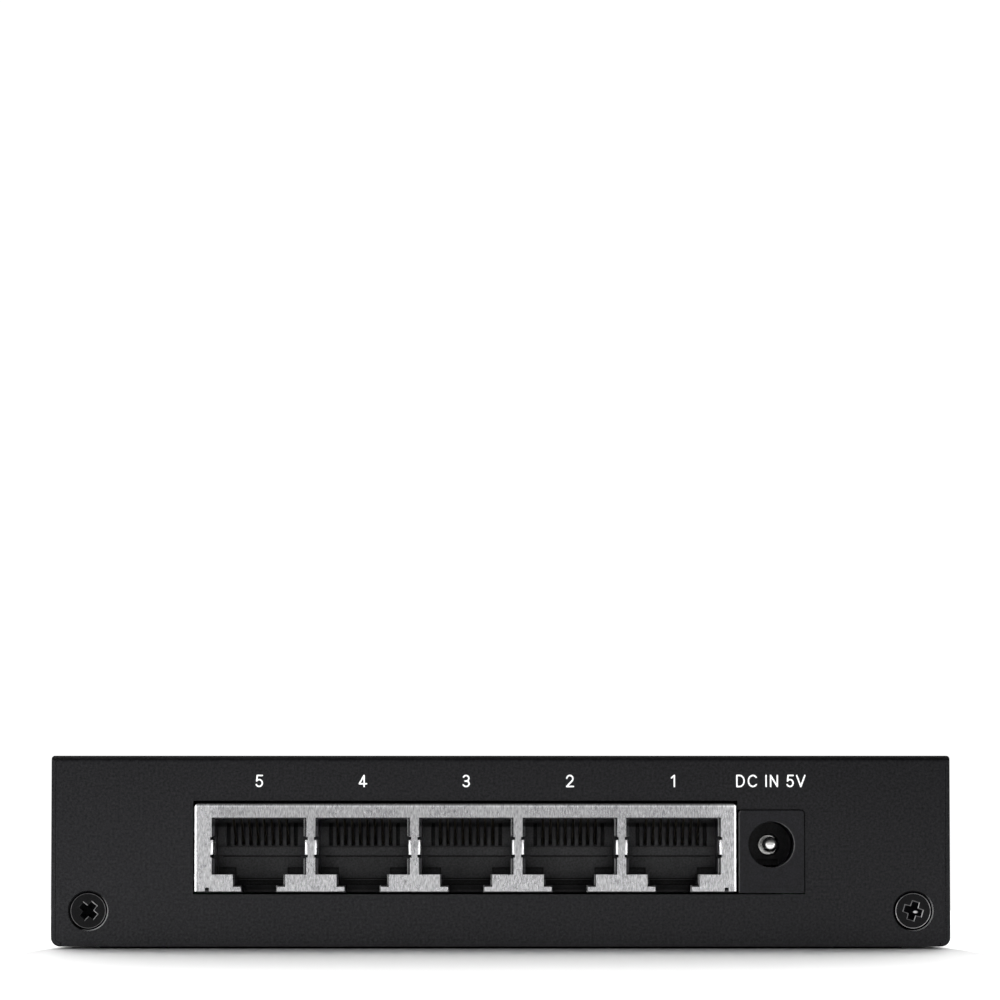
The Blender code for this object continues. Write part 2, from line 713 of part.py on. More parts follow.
def jack_housing(parts, helpers):
    """Moulded block with five plug cavities, a comb of slits in each back wall and a latch channel."""
    gap = SHIELD_SHEET + 0.15
    body = (
        (SHIELD_X[0] + gap, SHIELD_X[1] - gap),
        (REAR_END + gap, REAR_END + SHIELD_DEPTH - gap),
        (BOARD_TOP + 0.3, SHIELD_Z[1] - gap),
    )
    housing = boxes("jack_housing", [body], parts, "black_plastic")
    front = REAR_END - 1.0
    for number, x in zip(range(PORT_COUNT, 0, -1), port_centres()):
        cavity = boxes(
            f"cavity_{number}",
            [((x - CAVITY_HALF, x + CAVITY_HALF), (front, CAVITY_BACK), (10.0, 17.5))],
            helpers,
        )
        channel = (
            (x - LATCH_CHANNEL_HALF, x + LATCH_CHANNEL_HALF), (front - 0.1, STEP_FACE + 0.2), (8.55, 10.6)
        )
        join(cavity, boxes(f"latch_{number}", [channel], helpers))
        join(
            cavity,
            boxes(f"keyway_{number}", [((x - 2.3, x + 2.3), (front - 0.2, -31.5), (7.0, 9.0))], helpers),
        )
        join(
            cavity,
            boxes(
                f"contact_well_{number}",
                [((x - 5.4, x + 5.4), (-37.0, CAVITY_BACK - 0.1), (17.0, 18.7))],
                helpers,
            ),
        )
        cut(housing, cavity)
    join(housing, cavity_steps(helpers))
    cut(housing, boxes("comb_and_pockets", comb_and_pockets(), helpers))
    return housing


def cavity_steps(helpers):
    """The lower part of each back wall stands forward of the comb and down into the latch channel."""
    wide = CAVITY_HALF + 0.2
    stem = LATCH_CHANNEL_HALF + 0.2
    half = [(stem, 9.0), (stem, 10.94), (wide, 11.0), (wide, 13.7)]
    outlines = [
        [(x + u, v)
        for u, v in half] + [(x - u, v) for u, v in reversed(half)] for x in port_centres()
    ]
    return extruded("cavity_steps", outlines, "XZ", STEP_FACE, CAVITY_BACK + 0.2, helpers)


def comb_and_pockets():
    """Slits for the contact ends, a groove and a latch slot below, and pockets for the fingers."""
    shapes = []
    for x in port_centres():
        for i in range(COMB_SLITS):
            slit = x + COMB_PITCH * (i - (COMB_SLITS - 1) / 2)
            shapes.append(((slit - 0.27, slit + 0.27), (CAVITY_BACK - 0.6, CAVITY_BACK + 1.3), COMB_Z))
        shapes.append(((x - 5.3, x + 5.3), (STEP_FACE - 0.2, STEP_FACE + 0.25), (12.38, 12.53)))
        channel = LATCH_CHANNEL_HALF - 0.1
        shapes.append(((x - channel, x + channel), (STEP_FACE - 0.4, STEP_FACE + 1.2), (8.62, 9.25)))
        for side in (-1, 1):
            pocket = sorted((x + side * (CAVITY_HALF - 0.2), x + side * (MOUTH_HALF + 0.28)))
            back = REAR_END + FINGER_LONG + 0.4
            shapes.append((pocket, (REAR_END - 0.5, back), (FINGER_Z[0] - 0.5, FINGER_Z[1] + 0.5)))
    return shapes


def contact_sets(parts, helpers):
    """Eight sprung wires per socket. They hinge on the moulded strip that holds their front ends."""
    pivot_y, pivot_z = CONTACT_PIVOT
    end_y, end_z = CONTACT_END
    run = math.hypot(end_y - pivot_y, end_z - pivot_z)
    slope = math.atan2(end_z - pivot_z, end_y - pivot_y)
    for number, x in zip(range(PORT_COUNT, 0, -1), port_centres()):
        name = f"contact_set_{number}"
        strip = rod(
            name, (x - 4.6, pivot_y, pivot_z), (1, 0, 0), 9.2, 0.5, parts, "gold_contact", sides=12
        )
        bm = bmesh.new()
        for i in range(CONTACTS):
            wire = COMB_PITCH * (i - (CONTACTS - 1) / 2)
            add_box(bm, (wire - 0.16, wire + 0.16), (0.0, run), (-0.16, 0.16))
        wires = mesh_object(bm, f"wires_{number}", helpers)
        wires.matrix_world = Matrix.Translation(Vector((x, pivot_y, pivot_z)) * MM) @ Matrix.Rotation(
            slope, 4, "X"
        )
        join(strip, wires)
        set_origin(strip, (x, pivot_y, pivot_z))


def dc_jack(parts, helpers):
    """Power socket: a moulded body with a bore, the pin inside it and a sprung leaf below it."""
    x_low, x_high = DC_X
    z_low, z_high = DC_Z
    outline = [(x_low, z_low), (x_high, z_low)]
    outline += arc((x_high - DC_CORNER, z_high - DC_CORNER), DC_CORNER, 0, 90, 4)
    outline += arc((x_low + DC_CORNER, z_high - DC_CORNER), DC_CORNER, 90, 180, 4)
    body = extruded("dc_jack_body", [outline], "XZ", DC_FACE, DC_BACK, parts, "black_plastic")
    bore_x, bore_z = DC_BORE
    cut(
        body,
        rod("dc_bore", (bore_x, DC_FACE - 1.0, bore_z), (0, 1, 0), 11.0, DC_BORE_R, helpers, sides=36),
    )
    pivot_y, pivot_z = SPRING_PIVOT
    well = ((bore_x - 1.4, bore_x + 1.4), (SPRING_FRONT - 0.5, pivot_y + 0.8), (9.3, bore_z - 2.0))
    cut(body, boxes("spring_well", [well], helpers))
    seat = DC_FACE + 10.0
    cut(
        body,
        rod("pin_seat", (bore_x, seat - 0.5, bore_z), (0, 1, 0), 3.0, DC_PIN_R + 0.45, helpers, sides=24),
    )

    pin = rod(
        "dc_centre_pin", (bore_x, DC_FACE + 2.4, bore_z), (0, 1, 0), 9.6, DC_PIN_R, parts, "tinned_steel"
    )
    soften(pin, 0.3, segments=2, angle=60)
    join(
        pin,
        rod(
            "pin_flange", (bore_x, seat + 0.3, bore_z), (0, 1, 0), 1.2, DC_PIN_R + 0.3, helpers, sides=24
        ),
    )
    smooth_round(pin)

    spring = rod(
        "dc_sleeve_spring",
        (bore_x - 1.1, pivot_y, pivot_z),
        (1, 0, 0),
        2.2,
        0.3,
        parts,
        "tinned_steel",
        sides=12,
    )
    join(spring, extruded("leaf", [leaf_outline()], "YZ", bore_x - 0.95, bore_x + 0.95, helpers))
    set_origin(spring, (bore_x, pivot_y, pivot_z))


def leaf_outline():
    """The leaf runs forward from its root, rises to touch a plug's sleeve, and dips at its tip."""
    pivot_y, pivot_z = SPRING_PIVOT
    thick = 0.25
    crest = DC_BORE[1] - DC_BORE_R + 0.35
    upper = [
        (pivot_y, pivot_z + 0.12),
        (-34.6, crest - 0.1),
        (-35.2, crest),
        (-35.8, crest),
        (SPRING_FRONT, pivot_z + 0.2),
    ]
    return upper + [(y, z - thick) for y, z in reversed(upper)]


def cover_screws(parts, helpers):
    """Countersunk cross-head screws. Each came to rest at its own angle."""
    for side, label, angle in ((-1, "left", 40.0), (1, "right", 17.0)):
        x = side * SCREW_X
        face = PANEL_Y + 0.1
        screw = rod(
            f"cover_screw_{label}",
            (x, face, SCREW_Z),
            (0, 1, 0),
            0.15,
            SCREW_HEAD_R,
            parts,
            "powder_coat",
            sides=32,
        )
        cone = rod(
            f"screw_cone_{label}",
            (x, face + 0.1, SCREW_Z),
            (0, 1, 0),
            0.9,
            SCREW_HEAD_R - 0.03,
            helpers,
            tip=SHANK_R,
            sides=32,
        )
        shank = rod(
            f"screw_shank_{label}", (x, face + 0.6, SCREW_Z), (0, 1, 0), 5.0, SHANK_R, helpers, sides=32
        )
        join(join(screw, cone), shank)
        for turn in (0.0, 90.0):
            arm = boxes(
                f"cross_{label}_{int(turn)}", [((-1.7, 1.7), (-1.0, 1.1), (-0.42, 0.42))], helpers
            )
            arm.matrix_world = (
                Matrix.Translation(Vector((x, face, SCREW_Z)) * MM) @ Matrix.Rotation(
                    math.radians(angle + turn), 4, "Y"
                )
            )
            cut(screw, arm)
        smooth_round(screw)


def chip(name, x, y, size, teeth, parts, helpers, finish="chip_black"):
    """A packaged component: moulded body with a row of leads along two sides."""
    width, depth, height = size
    foot = BOARD_TOP + REST_GAP
    body = boxes(
        name,
        [((x - width / 2, x + width / 2), (y - depth / 2, y + depth / 2), (foot + 0.3, foot + height))],
        parts,
        finish,
    )
    soften(body, 0.2)
    pitch = depth / teeth
    reach = width / 2 + 1.0
    leads = []
    for i in range(teeth):
        lead = y - depth / 2 + pitch * (i + 0.5)
        leads.append(((x - reach, x + reach), (lead - pitch / 4, lead + pitch / 4), (foot, foot + 0.75)))
    return join(body, boxes(f"{name}_leads", leads, helpers))


def components(parts, helpers):
    """What stands on the board, apart from the sockets."""
    for number, x in zip(range(PORT_COUNT, 0, -1), port_centres()):
        chip(f"magnetics_{number}", x, -10.5, (8.6, 13.0, 5.4), 6, parts, helpers)
    chip("switch_chip", -8.0, 13.0, (14.0, 14.0, 1.4), 8, parts, helpers)
    chip("flash_chip", -28.0, 13.0, (3.9, 4.9, 1.6), 4, parts, helpers)
    chip("regulator", 36.5, 6.0, (3.9, 4.9, 1.6), 4, parts, helpers)
    foot = BOARD_TOP + REST_GAP
    crystal = boxes("crystal", [((6.0, 17.0), (8.0, 12.4), (foot, foot + 3.6))], parts, "can_aluminium")
    soften(crystal, 1.2, segments=2)
    inductor = boxes(
        "power_inductor", [((34.0, 41.0), (-6.0, 1.0), (foot, foot + 3.4))], parts, "ferrite"
    )
    soften(inductor, 0.8)
    capacitor = rod(
        "input_capacitor", (36.5, -15.0, foot), (0, 0, 1), 11.0, 4.0, parts, "can_aluminium", sides=28
    )
    smooth_round(soften(capacitor, 0.4, segments=2))
    names = [f"port_lamp_{number}" for number in range(1, PORT_COUNT + 1)] + ["power_lamp"]
    for name, x in zip(names, LED_X):
        lamp = boxes(
            name,
            [((x - 1.5, x + 1.5), (BOARD_Y[1] - 2.6, BOARD_Y[1] - 0.1), (foot, foot + 2.2))],
            parts,
            "led_lens",
        )
        soften(lamp, 0.3)


def build():
    clear_scene()
    parts = new_collection("desktop_network_switch")
    helpers = new_collection("cutters", helper=True)
    base_tray(parts, helpers)
    top_cover(parts, helpers)
    front_bezel(parts, helpers)
    light_pipe(parts, helpers)
    feet(parts)
    circuit_board(parts, helpers)
    board_fixings(parts, helpers)
    jack_shield(parts, helpers)
    jack_housing(parts, helpers)
    contact_sets(parts, helpers)
    dc_jack(parts, helpers)
    cover_screws(parts, helpers)
    components(parts, helpers)


build()
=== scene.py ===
"""Looks of the desktop network switch: surface finish, fine edges, printed numbers, screws, stage and light.

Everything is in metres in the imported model's frame: X to the right seen from behind, -Y out of the sockets.
"""

import json
import math

import bmesh
import bpy
from mathutils import Matrix, Vector
from mathutils.geometry import delaunay_2d_cdt


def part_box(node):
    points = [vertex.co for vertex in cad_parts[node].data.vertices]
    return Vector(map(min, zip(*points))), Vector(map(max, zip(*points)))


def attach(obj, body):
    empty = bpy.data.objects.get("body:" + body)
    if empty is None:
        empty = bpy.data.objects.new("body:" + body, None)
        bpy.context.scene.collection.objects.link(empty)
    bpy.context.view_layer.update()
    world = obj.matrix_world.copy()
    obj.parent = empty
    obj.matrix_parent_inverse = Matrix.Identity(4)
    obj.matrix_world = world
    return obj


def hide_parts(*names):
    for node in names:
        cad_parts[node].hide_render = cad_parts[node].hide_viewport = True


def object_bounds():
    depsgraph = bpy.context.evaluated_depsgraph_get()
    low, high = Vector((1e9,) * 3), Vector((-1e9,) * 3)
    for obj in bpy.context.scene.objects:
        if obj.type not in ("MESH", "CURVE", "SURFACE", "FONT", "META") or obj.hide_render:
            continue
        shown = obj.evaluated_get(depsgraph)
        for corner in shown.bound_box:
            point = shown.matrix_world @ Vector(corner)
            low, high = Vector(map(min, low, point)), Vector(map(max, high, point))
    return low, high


MM = 0.001
CASE = "switch_case"

# Painted shade over a fold: (how far the surface faces up, share of its shine)
PAINTED_FOLD_SHADE = ((0.0, 1.0), (0.15, 1.0), (0.40, 0.42), (0.72, 0.14), (0.95, 0.02), (0.990, 0.02), (0.999, 1.0))

# Painted falloff of light on the paint's colour and sheen: its share at the left and right ends of the case,
# and at its foot and roof
PAINTED_FALLOFF_ENDS = (0.84, 0.66)
PAINTED_FALLOFF_HEIGHTS = (1.44, 0.98)
PAINT_SHADE_REACH = 0.7  # mm within which a neighbour casts painted shade on the paint

# Sockets: painted shade, as the share of its colour that the plastic keeps, as (height in mm, share)
SOCKET_PAINTED_SHADE = (
    (7.70, 1.00), (7.88, 1.00), (7.92, 0.34), (8.60, 0.40), (8.75, 1.00), (9.34, 1.00), (9.38, 0.20),
    (9.48, 0.20), (9.52, 0.70), (10.5, 0.88), (12.44, 0.92), (12.48, 0.50), (12.60, 0.50), (12.64, 0.94),
    (14.0, 0.94), (14.5, 1.00), (16.40, 0.88), (16.55, 0.27), (16.95, 0.27), (17.20, 0.60), (17.50, 1.00),
    (19.60, 1.00),
)
SOCKET_SHADE_REACH = 2.6  # mm within which a neighbour casts painted shade on the plastic
SOCKET_OPEN = (0.62, 0.10)  # how open a point is for all of its colour, and for the least
SOCKET_FLOOR = 0.30  # the least share that a corner keeps

# Shield: the same for its plating, with painted shade where its top edge turns towards the case and a painted
# highlight line just below it
SHIELD_PAINTED_EDGE = (
    (7.00, 1.00), (19.02, 1.00), (19.10, 1.35), (19.18, 1.35), (19.28, 0.78), (19.40, 0.31), (19.50, 0.06),
    (20.00, 0.05),
)
TONE_TOP = 1.4  # at or above the highest share in either list

# Painted highlights on moulded lips: where they fade in depth, and how far they face left
PAINTED_LIP_FRONT = (-39.0 * MM, -38.2 * MM)
PAINTED_LIP_LEAN = (0.40, 0.10)

# Tin plate, painted reflection: its brightness where brightest and where dimmest, and where it changes in
# height and from the ends
REFLECTION_BRIGHT = 0.865
REFLECTION_DIM = 0.69
REFLECTION_HEIGHTS = (9.5 * MM, 15.0 * MM)
REFLECTION_ENDS = (5.0 * MM, 2.0 * MM)

# Fine edges: radius in mm and segments, by a node's name without its number
EDGES = {
    "top_cover": (0.10, 2),
    "base_tray": (0.10, 2),
    "front_bezel": (0.12, 2),
    "jack_shield": (0.11, 3),
    "jack_housing": (0.12, 1),
    "dc_jack_body": (0.12, 2),
    "light_pipe": (0.08, 1),
    "circuit_board": (0.08, 1),
    "switch_chip": (0.08, 1),
    "magnetics": (0.08, 1),
    "contact_set": (0.04, 1),
}
EDGE_ANGLE = 30.0  # degrees past which an edge is rounded
SMOOTH_ANGLE = 50.0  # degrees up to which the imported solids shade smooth
TURNED_SMOOTH_ANGLE = 35.0  # the same for the turned stand-ins

# Printed markings
CAP_HEIGHT = 1.76 * MM
STROKE = 0.210 * MM
INK_RISE = 0.012 * MM
INK_SINK = 0.006 * MM
INK_GLOW = 0.40
ROUND_SIDES = 12
BASELINE_Z = 21.70 * MM
LEGEND = "DC IN 5V"
LEGEND_LEFT = 0.09 * MM
LETTER_GAP = 0.17

# Screws: (turn in degrees, how bare the rim is, as wear and painted highlight, the least painted highlight on
# the recess's lips, finish)
SCREWS = {
    "cover_screw_left": (40.0, 0.30, 0.03, "black_screw"),
    "cover_screw_right": (17.0, 0.95, 0.30, "glinting_screw"),
}
HEAD_EDGE = 0.22 * MM
SHANK_RADIUS = 1.45 * MM
NECK_DEPTH = 1.0 * MM
TIP_BEVEL = 0.35 * MM
CROSS_REACH = 1.30 * MM
CROSS_WIDTH = 0.94 * MM
CROSS_DEPTH = 1.15 * MM
LIP_WIDTH = 0.09 * MM
RIM_DEEP = 0.14 * MM
RIM_LEAN = 0.62  # the rim is bare only where it faces out more than this; its other rounded faces get painted shade
ROUNDED = (-0.97, -0.15)  # the Y of a rounded face's normal, between flat and side-on
# Painted glint in one screw's recess: its offset from the middle, and its radii
GLINT_OFFSET = (0.39 * MM, -0.17 * MM)
GLINT_RADII = (0.32 * MM, 0.17 * MM)
WEAR_AND_LIGHT = "wear_and_light"

# Countersinks: their radius, and for each screw in turn the half width of its painted highlight ring, in
# radii
SINK_RADIUS = 2.75 * MM
SINK_HIGHLIGHT_RING = (0.052, 0.030)
SINK_HIGHLIGHT_FADE = 0.02
SINK_LIGHT = (-0.87, 0.0, 0.50)  # the side that gets the painted highlight

# Power pin
PIN_RADIUS = 1.05 * MM
PIN_DOME = 1.55 * MM
DOME_STEPS = 12
PIN_CORNER = 0.10 * MM
COLLAR_DEPTH = (7.9 * MM, 9.1 * MM)
COLLAR_RIM = 0.17 * MM
COLLAR_GROOVE = 0.7 * MM
COLLAR_SHADE = (-29.5, 0.42)  # the depth in mm past which the metal gets painted shade, and its share there

# Stage and camera
CAMERA_DISTANCE = 800.0 * MM
CAMERA_HEIGHT = 11.0 * MM
CAMERA_LEFT = 0.08 * MM
PIXELS_PER_MM = 7.4060
FRAME_PIXELS = 1000
SENSOR = 36.0
BASE_ROW = 948.8
FLOOR_FALL = 9.0  # degrees, up to FLOOR_SLOPE_END metres from the case
FLOOR_SLOPE_END = 0.12
FLOOR_END = 6.0
FLOOR_LAST_DROP = 0.02

# Light: (degrees from the camera's horizon up over the top, brightness), and (side, brightness)
TENT = (
    (0.0, 0.48), (5.0, 0.61), (9.0, 1.15), (16.0, 1.15), (21.0, 0.33), (46.0, 0.06), (90.5, 0.06),
    (91.5, 1.2), (94.0, 3.8), (97.5, 9.4), (101.0, 9.4), (103.0, 3.0), (114.0, 3.9), (116.0, 4.9),
    (138.0, 4.6), (145.0, 0.8), (180.0, 0.6),
)
TENT_PEAK = 9.4
SIDE_PANELS = ((-1.0, 3.8), (1.0, 3.0))
SIDE_REACH = (0.50, 0.72)  # how far sideways a ray points where a panel starts and where it is full
SIDE_TOP = (0.20, 0.05)  # how far up it points where the panels end and where they are full
SLANT = (1.06, 0.94)  # the tent's brightness at the left and at the right
BACKDROP = 1.05
SOFTBOX_PLACE = (-0.10, 0.35, 0.90)
SOFTBOX_TARGET = (0.0, 0.0, 0.013)
SOFTBOX_SIZE = 0.8
SOFTBOX_WATTS = 1.0

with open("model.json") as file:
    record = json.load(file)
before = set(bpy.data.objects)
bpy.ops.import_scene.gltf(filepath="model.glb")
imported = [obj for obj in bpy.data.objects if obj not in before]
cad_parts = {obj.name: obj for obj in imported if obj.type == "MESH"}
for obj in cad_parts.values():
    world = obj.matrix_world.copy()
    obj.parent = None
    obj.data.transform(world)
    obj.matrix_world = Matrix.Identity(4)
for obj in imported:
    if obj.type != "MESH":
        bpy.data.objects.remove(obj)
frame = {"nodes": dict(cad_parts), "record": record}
cad_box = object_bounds()


def middle_of(node):
    """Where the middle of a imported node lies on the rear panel, as (x, z)."""
    low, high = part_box(node)
    return (low.x + high.x) / 2, (low.z + high.z) / 2


# ---------------------------------------------------------------- node helpers


def wire(tree, source, output, target, socket):
    tree.links.new(source.outputs[output], target.inputs[socket])


def new_material(name, colour, roughness, metallic=0.0, specular=0.5):
    made = bpy.data.materials.new(name)
    made.use_nodes = True
    shader = made.node_tree.nodes["Principled BSDF"]
    shader.inputs["Base Color"].default_value = (*colour, 1.0)
    shader.inputs["Roughness"].default_value = roughness
    shader.inputs["Metallic"].default_value = metallic
    shader.inputs["Specular IOR Level"].default_value = specular
    return made, made.node_tree, shader


def place(tree, scale=(1.0, 1.0, 1.0)):
    """Object coordinates, which are the frame's metres, stretched by scale."""
    coords = tree.nodes.new("ShaderNodeTexCoord")
    mapping = tree.nodes.new("ShaderNodeMapping")
    mapping.inputs["Scale"].default_value = scale
    wire(tree, coords, "Object", mapping, "Vector")
    return mapping


def noise(tree, size_mm, detail=3.0, stretch=(1.0, 1.0, 1.0), roughness=0.55):
    """A noise whose features are about size_mm across, longer along an axis whose stretch is above 1."""
    scale = tuple(1.0 / (size_mm * MM * s) for s in stretch)
    mapping = place(tree, scale)
    node = tree.nodes.new("ShaderNodeTexNoise")
    node.inputs["Scale"].default_value = 1.0
    node.inputs["Detail"].default_value = detail
    node.inputs["Roughness"].default_value = roughness
    wire(tree, mapping, "Vector", node, "Vector")
    return node


def between(tree, source, output, first, last, low=0.0, high=1.0, smooth=False):
    """Runs from low where the source is first to high where it is last."""
    node = tree.nodes.new("ShaderNodeMapRange")
    if smooth:
        node.interpolation_type = "SMOOTHSTEP"
    node.inputs["From Min"].default_value, node.inputs["From Max"].default_value = first, last
    node.inputs["To Min"].default_value, node.inputs["To Max"].default_value = low, high
    wire(tree, source, output, node, "Value")
    return node


def spread(tree, source, low, high, output="Fac"):
    """Maps a texture's middle range, 0.3 to 0.7, to low and high."""
    return between(tree, source, output, 0.3, 0.7, low, high)


def mottled(tree, texture, low, high):
    """A colour that wanders with a texture between two fixed ones."""
    node = tree.nodes.new("ShaderNodeMix")
    node.data_type = "RGBA"
    node.inputs["A"].default_value = (*low, 1.0)
    node.inputs["B"].default_value = (*high, 1.0)
    wire(tree, spread(tree, texture, 0.0, 1.0), "Result", node, "Factor")
    return node


def towards(tree, factor, output, base, colour):
    """A colour that moves from the base to a fixed one as the factor rises."""
    node = tree.nodes.new("ShaderNodeMix")
    node.data_type = "RGBA"
    node.inputs["B"].default_value = (*colour, 1.0)
    wire(tree, factor, output, node, "Factor")
    wire(tree, base, "Result", node, "A")
    return node


def axes(tree, source="ShaderNodeTexCoord", output="Object"):
    """A vector split into X, Y and Z: the frame's metres, unless another source is named."""
    vector = tree.nodes.new(source)
    split = tree.nodes.new("ShaderNodeSeparateXYZ")
    wire(tree, vector, output, split, "Vector")
    return split


def curved(tree, source, output, pairs, top=1.0):
    """A ramp through (place, level) pairs, with each level given as a share of top."""
    curve = tree.nodes.new("ShaderNodeValToRGB")
    elements = curve.color_ramp.elements
    while len(elements) < len(pairs):
        elements.new(0.5)
    for element, (where, level) in zip(elements, pairs):
        element.position = where
        element.color = (level / top, level / top, level / top, 1.0)
    wire(tree, source, output, curve, "Fac")
    return curve


def bump(tree, shader, height, output, strength, depth_mm, after=None):
    node = tree.nodes.new("ShaderNodeBump")
    node.inputs["Strength"].default_value = strength
    node.inputs["Distance"].default_value = depth_mm * MM
    wire(tree, height, output, node, "Height")
    if after is not None:
        wire(tree, after, "Normal", node, "Normal")
    wire(tree, node, "Normal", shader, "Normal")
    return node


def rounded_normal(tree, radius_mm):
    node = tree.nodes.new("ShaderNodeBevel")
    node.samples = 4
    node.inputs["Radius"].default_value = radius_mm * MM
    return node


def leaning(tree, normal, other):
    """How far a node's normal leans towards a fixed direction or towards another node's normal."""
    node = tree.nodes.new("ShaderNodeVectorMath")
    node.operation = "DOT_PRODUCT"
    wire(tree, normal, "Normal", node, 0)
    if isinstance(other, tuple):
        node.inputs[1].default_value = other
    else:
        wire(tree, other, "Normal", node, 1)
    return node


def edge_mask(tree, radius_mm):
    """Runs from 0 on a flat to 1 on an edge, from how far a rounded normal turns away from the true one."""
    geometry = tree.nodes.new("ShaderNodeNewGeometry")
    turn = leaning(tree, rounded_normal(tree, radius_mm), geometry)
    return between(tree, turn, "Value", 0.995, 0.85)


def across_panel(tree, centre, radii):
    """How far a point is from centre across the rear panel, in radii: 1 on the ellipse that they draw."""
    (x, z), (wide, tall) = centre, radii
    mapping = place(tree, (1.0 / wide, 0.0, 1.0 / tall))
    mapping.inputs["Location"].default_value = (-x / wide, 0.0, -z / tall)
    length = tree.nodes.new("ShaderNodeVectorMath")
    length.operation = "LENGTH"
    wire(tree, mapping, "Vector", length, 0)
    return length


def ramp_down(tree, source, output, full, none):
    """Runs from 1 where the source is full to 0 where it is none."""
    return between(tree, source, output, none, full)


def calculated(tree, operation, first, second, outputs=("Value", "Value")):
    """A math node on two sources, or on one source and a number."""
    node = tree.nodes.new("ShaderNodeMath")
    node.operation = operation
    for slot, (source, output) in enumerate(zip((first, second), outputs)):
        if isinstance(source, (int, float)):
            node.inputs[slot].default_value = source
        else:
            wire(tree, source, output, node, slot)
    return node


def crevice(tree, reach_mm, window=(0.80, 0.30)):
    """Runs from 0 deep in a gap to 1 in the open; window holds how open a point is for 1 and for 0."""
    node = tree.nodes.new("ShaderNodeAmbientOcclusion")
    node.samples = 4
    node.inputs["Distance"].default_value = reach_mm * MM
    return ramp_down(tree, node, "AO", *window)


def multiplied(tree, first, second, outputs=("Result", "Value")):
    """A colour multiplied by a number or by another colour."""
    node = tree.nodes.new("ShaderNodeMix")
    node.data_type = "RGBA"
    node.blend_type = "MULTIPLY"
    node.inputs["Factor"].default_value = 1.0
    wire(tree, first, outputs[0], node, "A")
    wire(tree, second, outputs[1], node, "B")
    return node


def dim_shine(tree, shader, share, output="Value"):
    """Scales a shader's specular level by a node's value."""
    level = shader.inputs["Specular IOR Level"]
    dimmed = calculated(tree, "MULTIPLY", share, level.default_value, (output, "Value"))
    tree.links.new(dimmed.outputs["Value"], level)


def tone_by_height(tree, tones):
    """Painted light and shade by height: the share of its colour that a piece keeps at each height, from
    (height in mm, share) pairs.
    """
    low, high = tones[0][0], tones[-1][0]
    height = between(tree, axes(tree), "Z", low * MM, high * MM)
    shares = [((z - low) / (high - low), level) for z, level in tones]
    curve = curved(tree, height, "Result", shares, TONE_TOP)
    return calculated(tree, "MULTIPLY", curve, TONE_TOP, ("Color", "Value"))


def lit_lips(tree, base, radius_mm, tone):
    """Moulded edges near the rear that face left get a painted highlight, a pale tone where they would catch
    the light.
    """
    lean = leaning(tree, rounded_normal(tree, radius_mm), (-1.0, 0.0, 0.0))
    turned_left = ramp_down(tree, lean, "Value", *PAINTED_LIP_LEAN)
    front = ramp_down(tree, axes(tree), "Y", *PAINTED_LIP_FRONT)
    lip = calculated(tree, "MULTIPLY", turned_left, front, ("Result", "Result"))
    return towards(tree, lip, "Value", base, (tone, tone, tone))


def socket_shade(tree, base, shader):
    """Painted shade in a socket's depths: dark under the roof, in the latch channel, in slits and in corners.
    """
    hollow = crevice(tree, SOCKET_SHADE_REACH, SOCKET_OPEN)
    corners = calculated(tree, "MAXIMUM", hollow, SOCKET_FLOOR, ("Result", "Value"))
    tone = calculated(tree, "MULTIPLY", tone_by_height(tree, SOCKET_PAINTED_SHADE), corners)
    dim_shine(tree, shader, tone)
    return multiplied(tree, base, tone)


# ---------------------------------------------------------------- materials


def sink_rims(tree):
    """A painted highlight: a pale ring on the countersinks' edges, on the side that faces up and left."""
    lean = leaning(tree, tree.nodes.new("ShaderNodeNewGeometry"), SINK_LIGHT)
    facing = ramp_down(tree, lean, "Value", 0.55, 0.10)
    total = 0.0
    for node, wide in zip(SCREWS, SINK_HIGHLIGHT_RING):
        distance = across_panel(tree, middle_of(node), (SINK_RADIUS, SINK_RADIUS))
        off = calculated(tree, "ABSOLUTE", calculated(tree, "SUBTRACT", distance, 1.0), 0.0)
        ring = ramp_down(tree, off, "Value", wide, wide + SINK_HIGHLIGHT_FADE)
        total = calculated(tree, "ADD", ring, total, ("Result", "Value"))
    return calculated(tree, "MULTIPLY", total, facing, ("Value", "Result"))


def fold_shade(tree):
    """The share of its colour and shine that the paint keeps, as painted shade: all on flats, less up on a
    fold.
    """
    return curved(tree, axes(tree, "ShaderNodeNewGeometry", "True Normal"), "Z", PAINTED_FOLD_SHADE)


def sheen_across(tree):
    """Painted falloff of light: the paint's colour and sheen fall off slowly from the left end of the case to
    the right, and up from its foot.
    """
    split = axes(tree)
    falls = [
        between(tree, split, "XYZ"[axis], cad_box[0][axis], cad_box[1][axis], *shares)
        for axis, shares in ((0, PAINTED_FALLOFF_ENDS), (2, PAINTED_FALLOFF_HEIGHTS))
    ]
    return calculated(tree, "MULTIPLY", *falls, ("Result", "Result"))


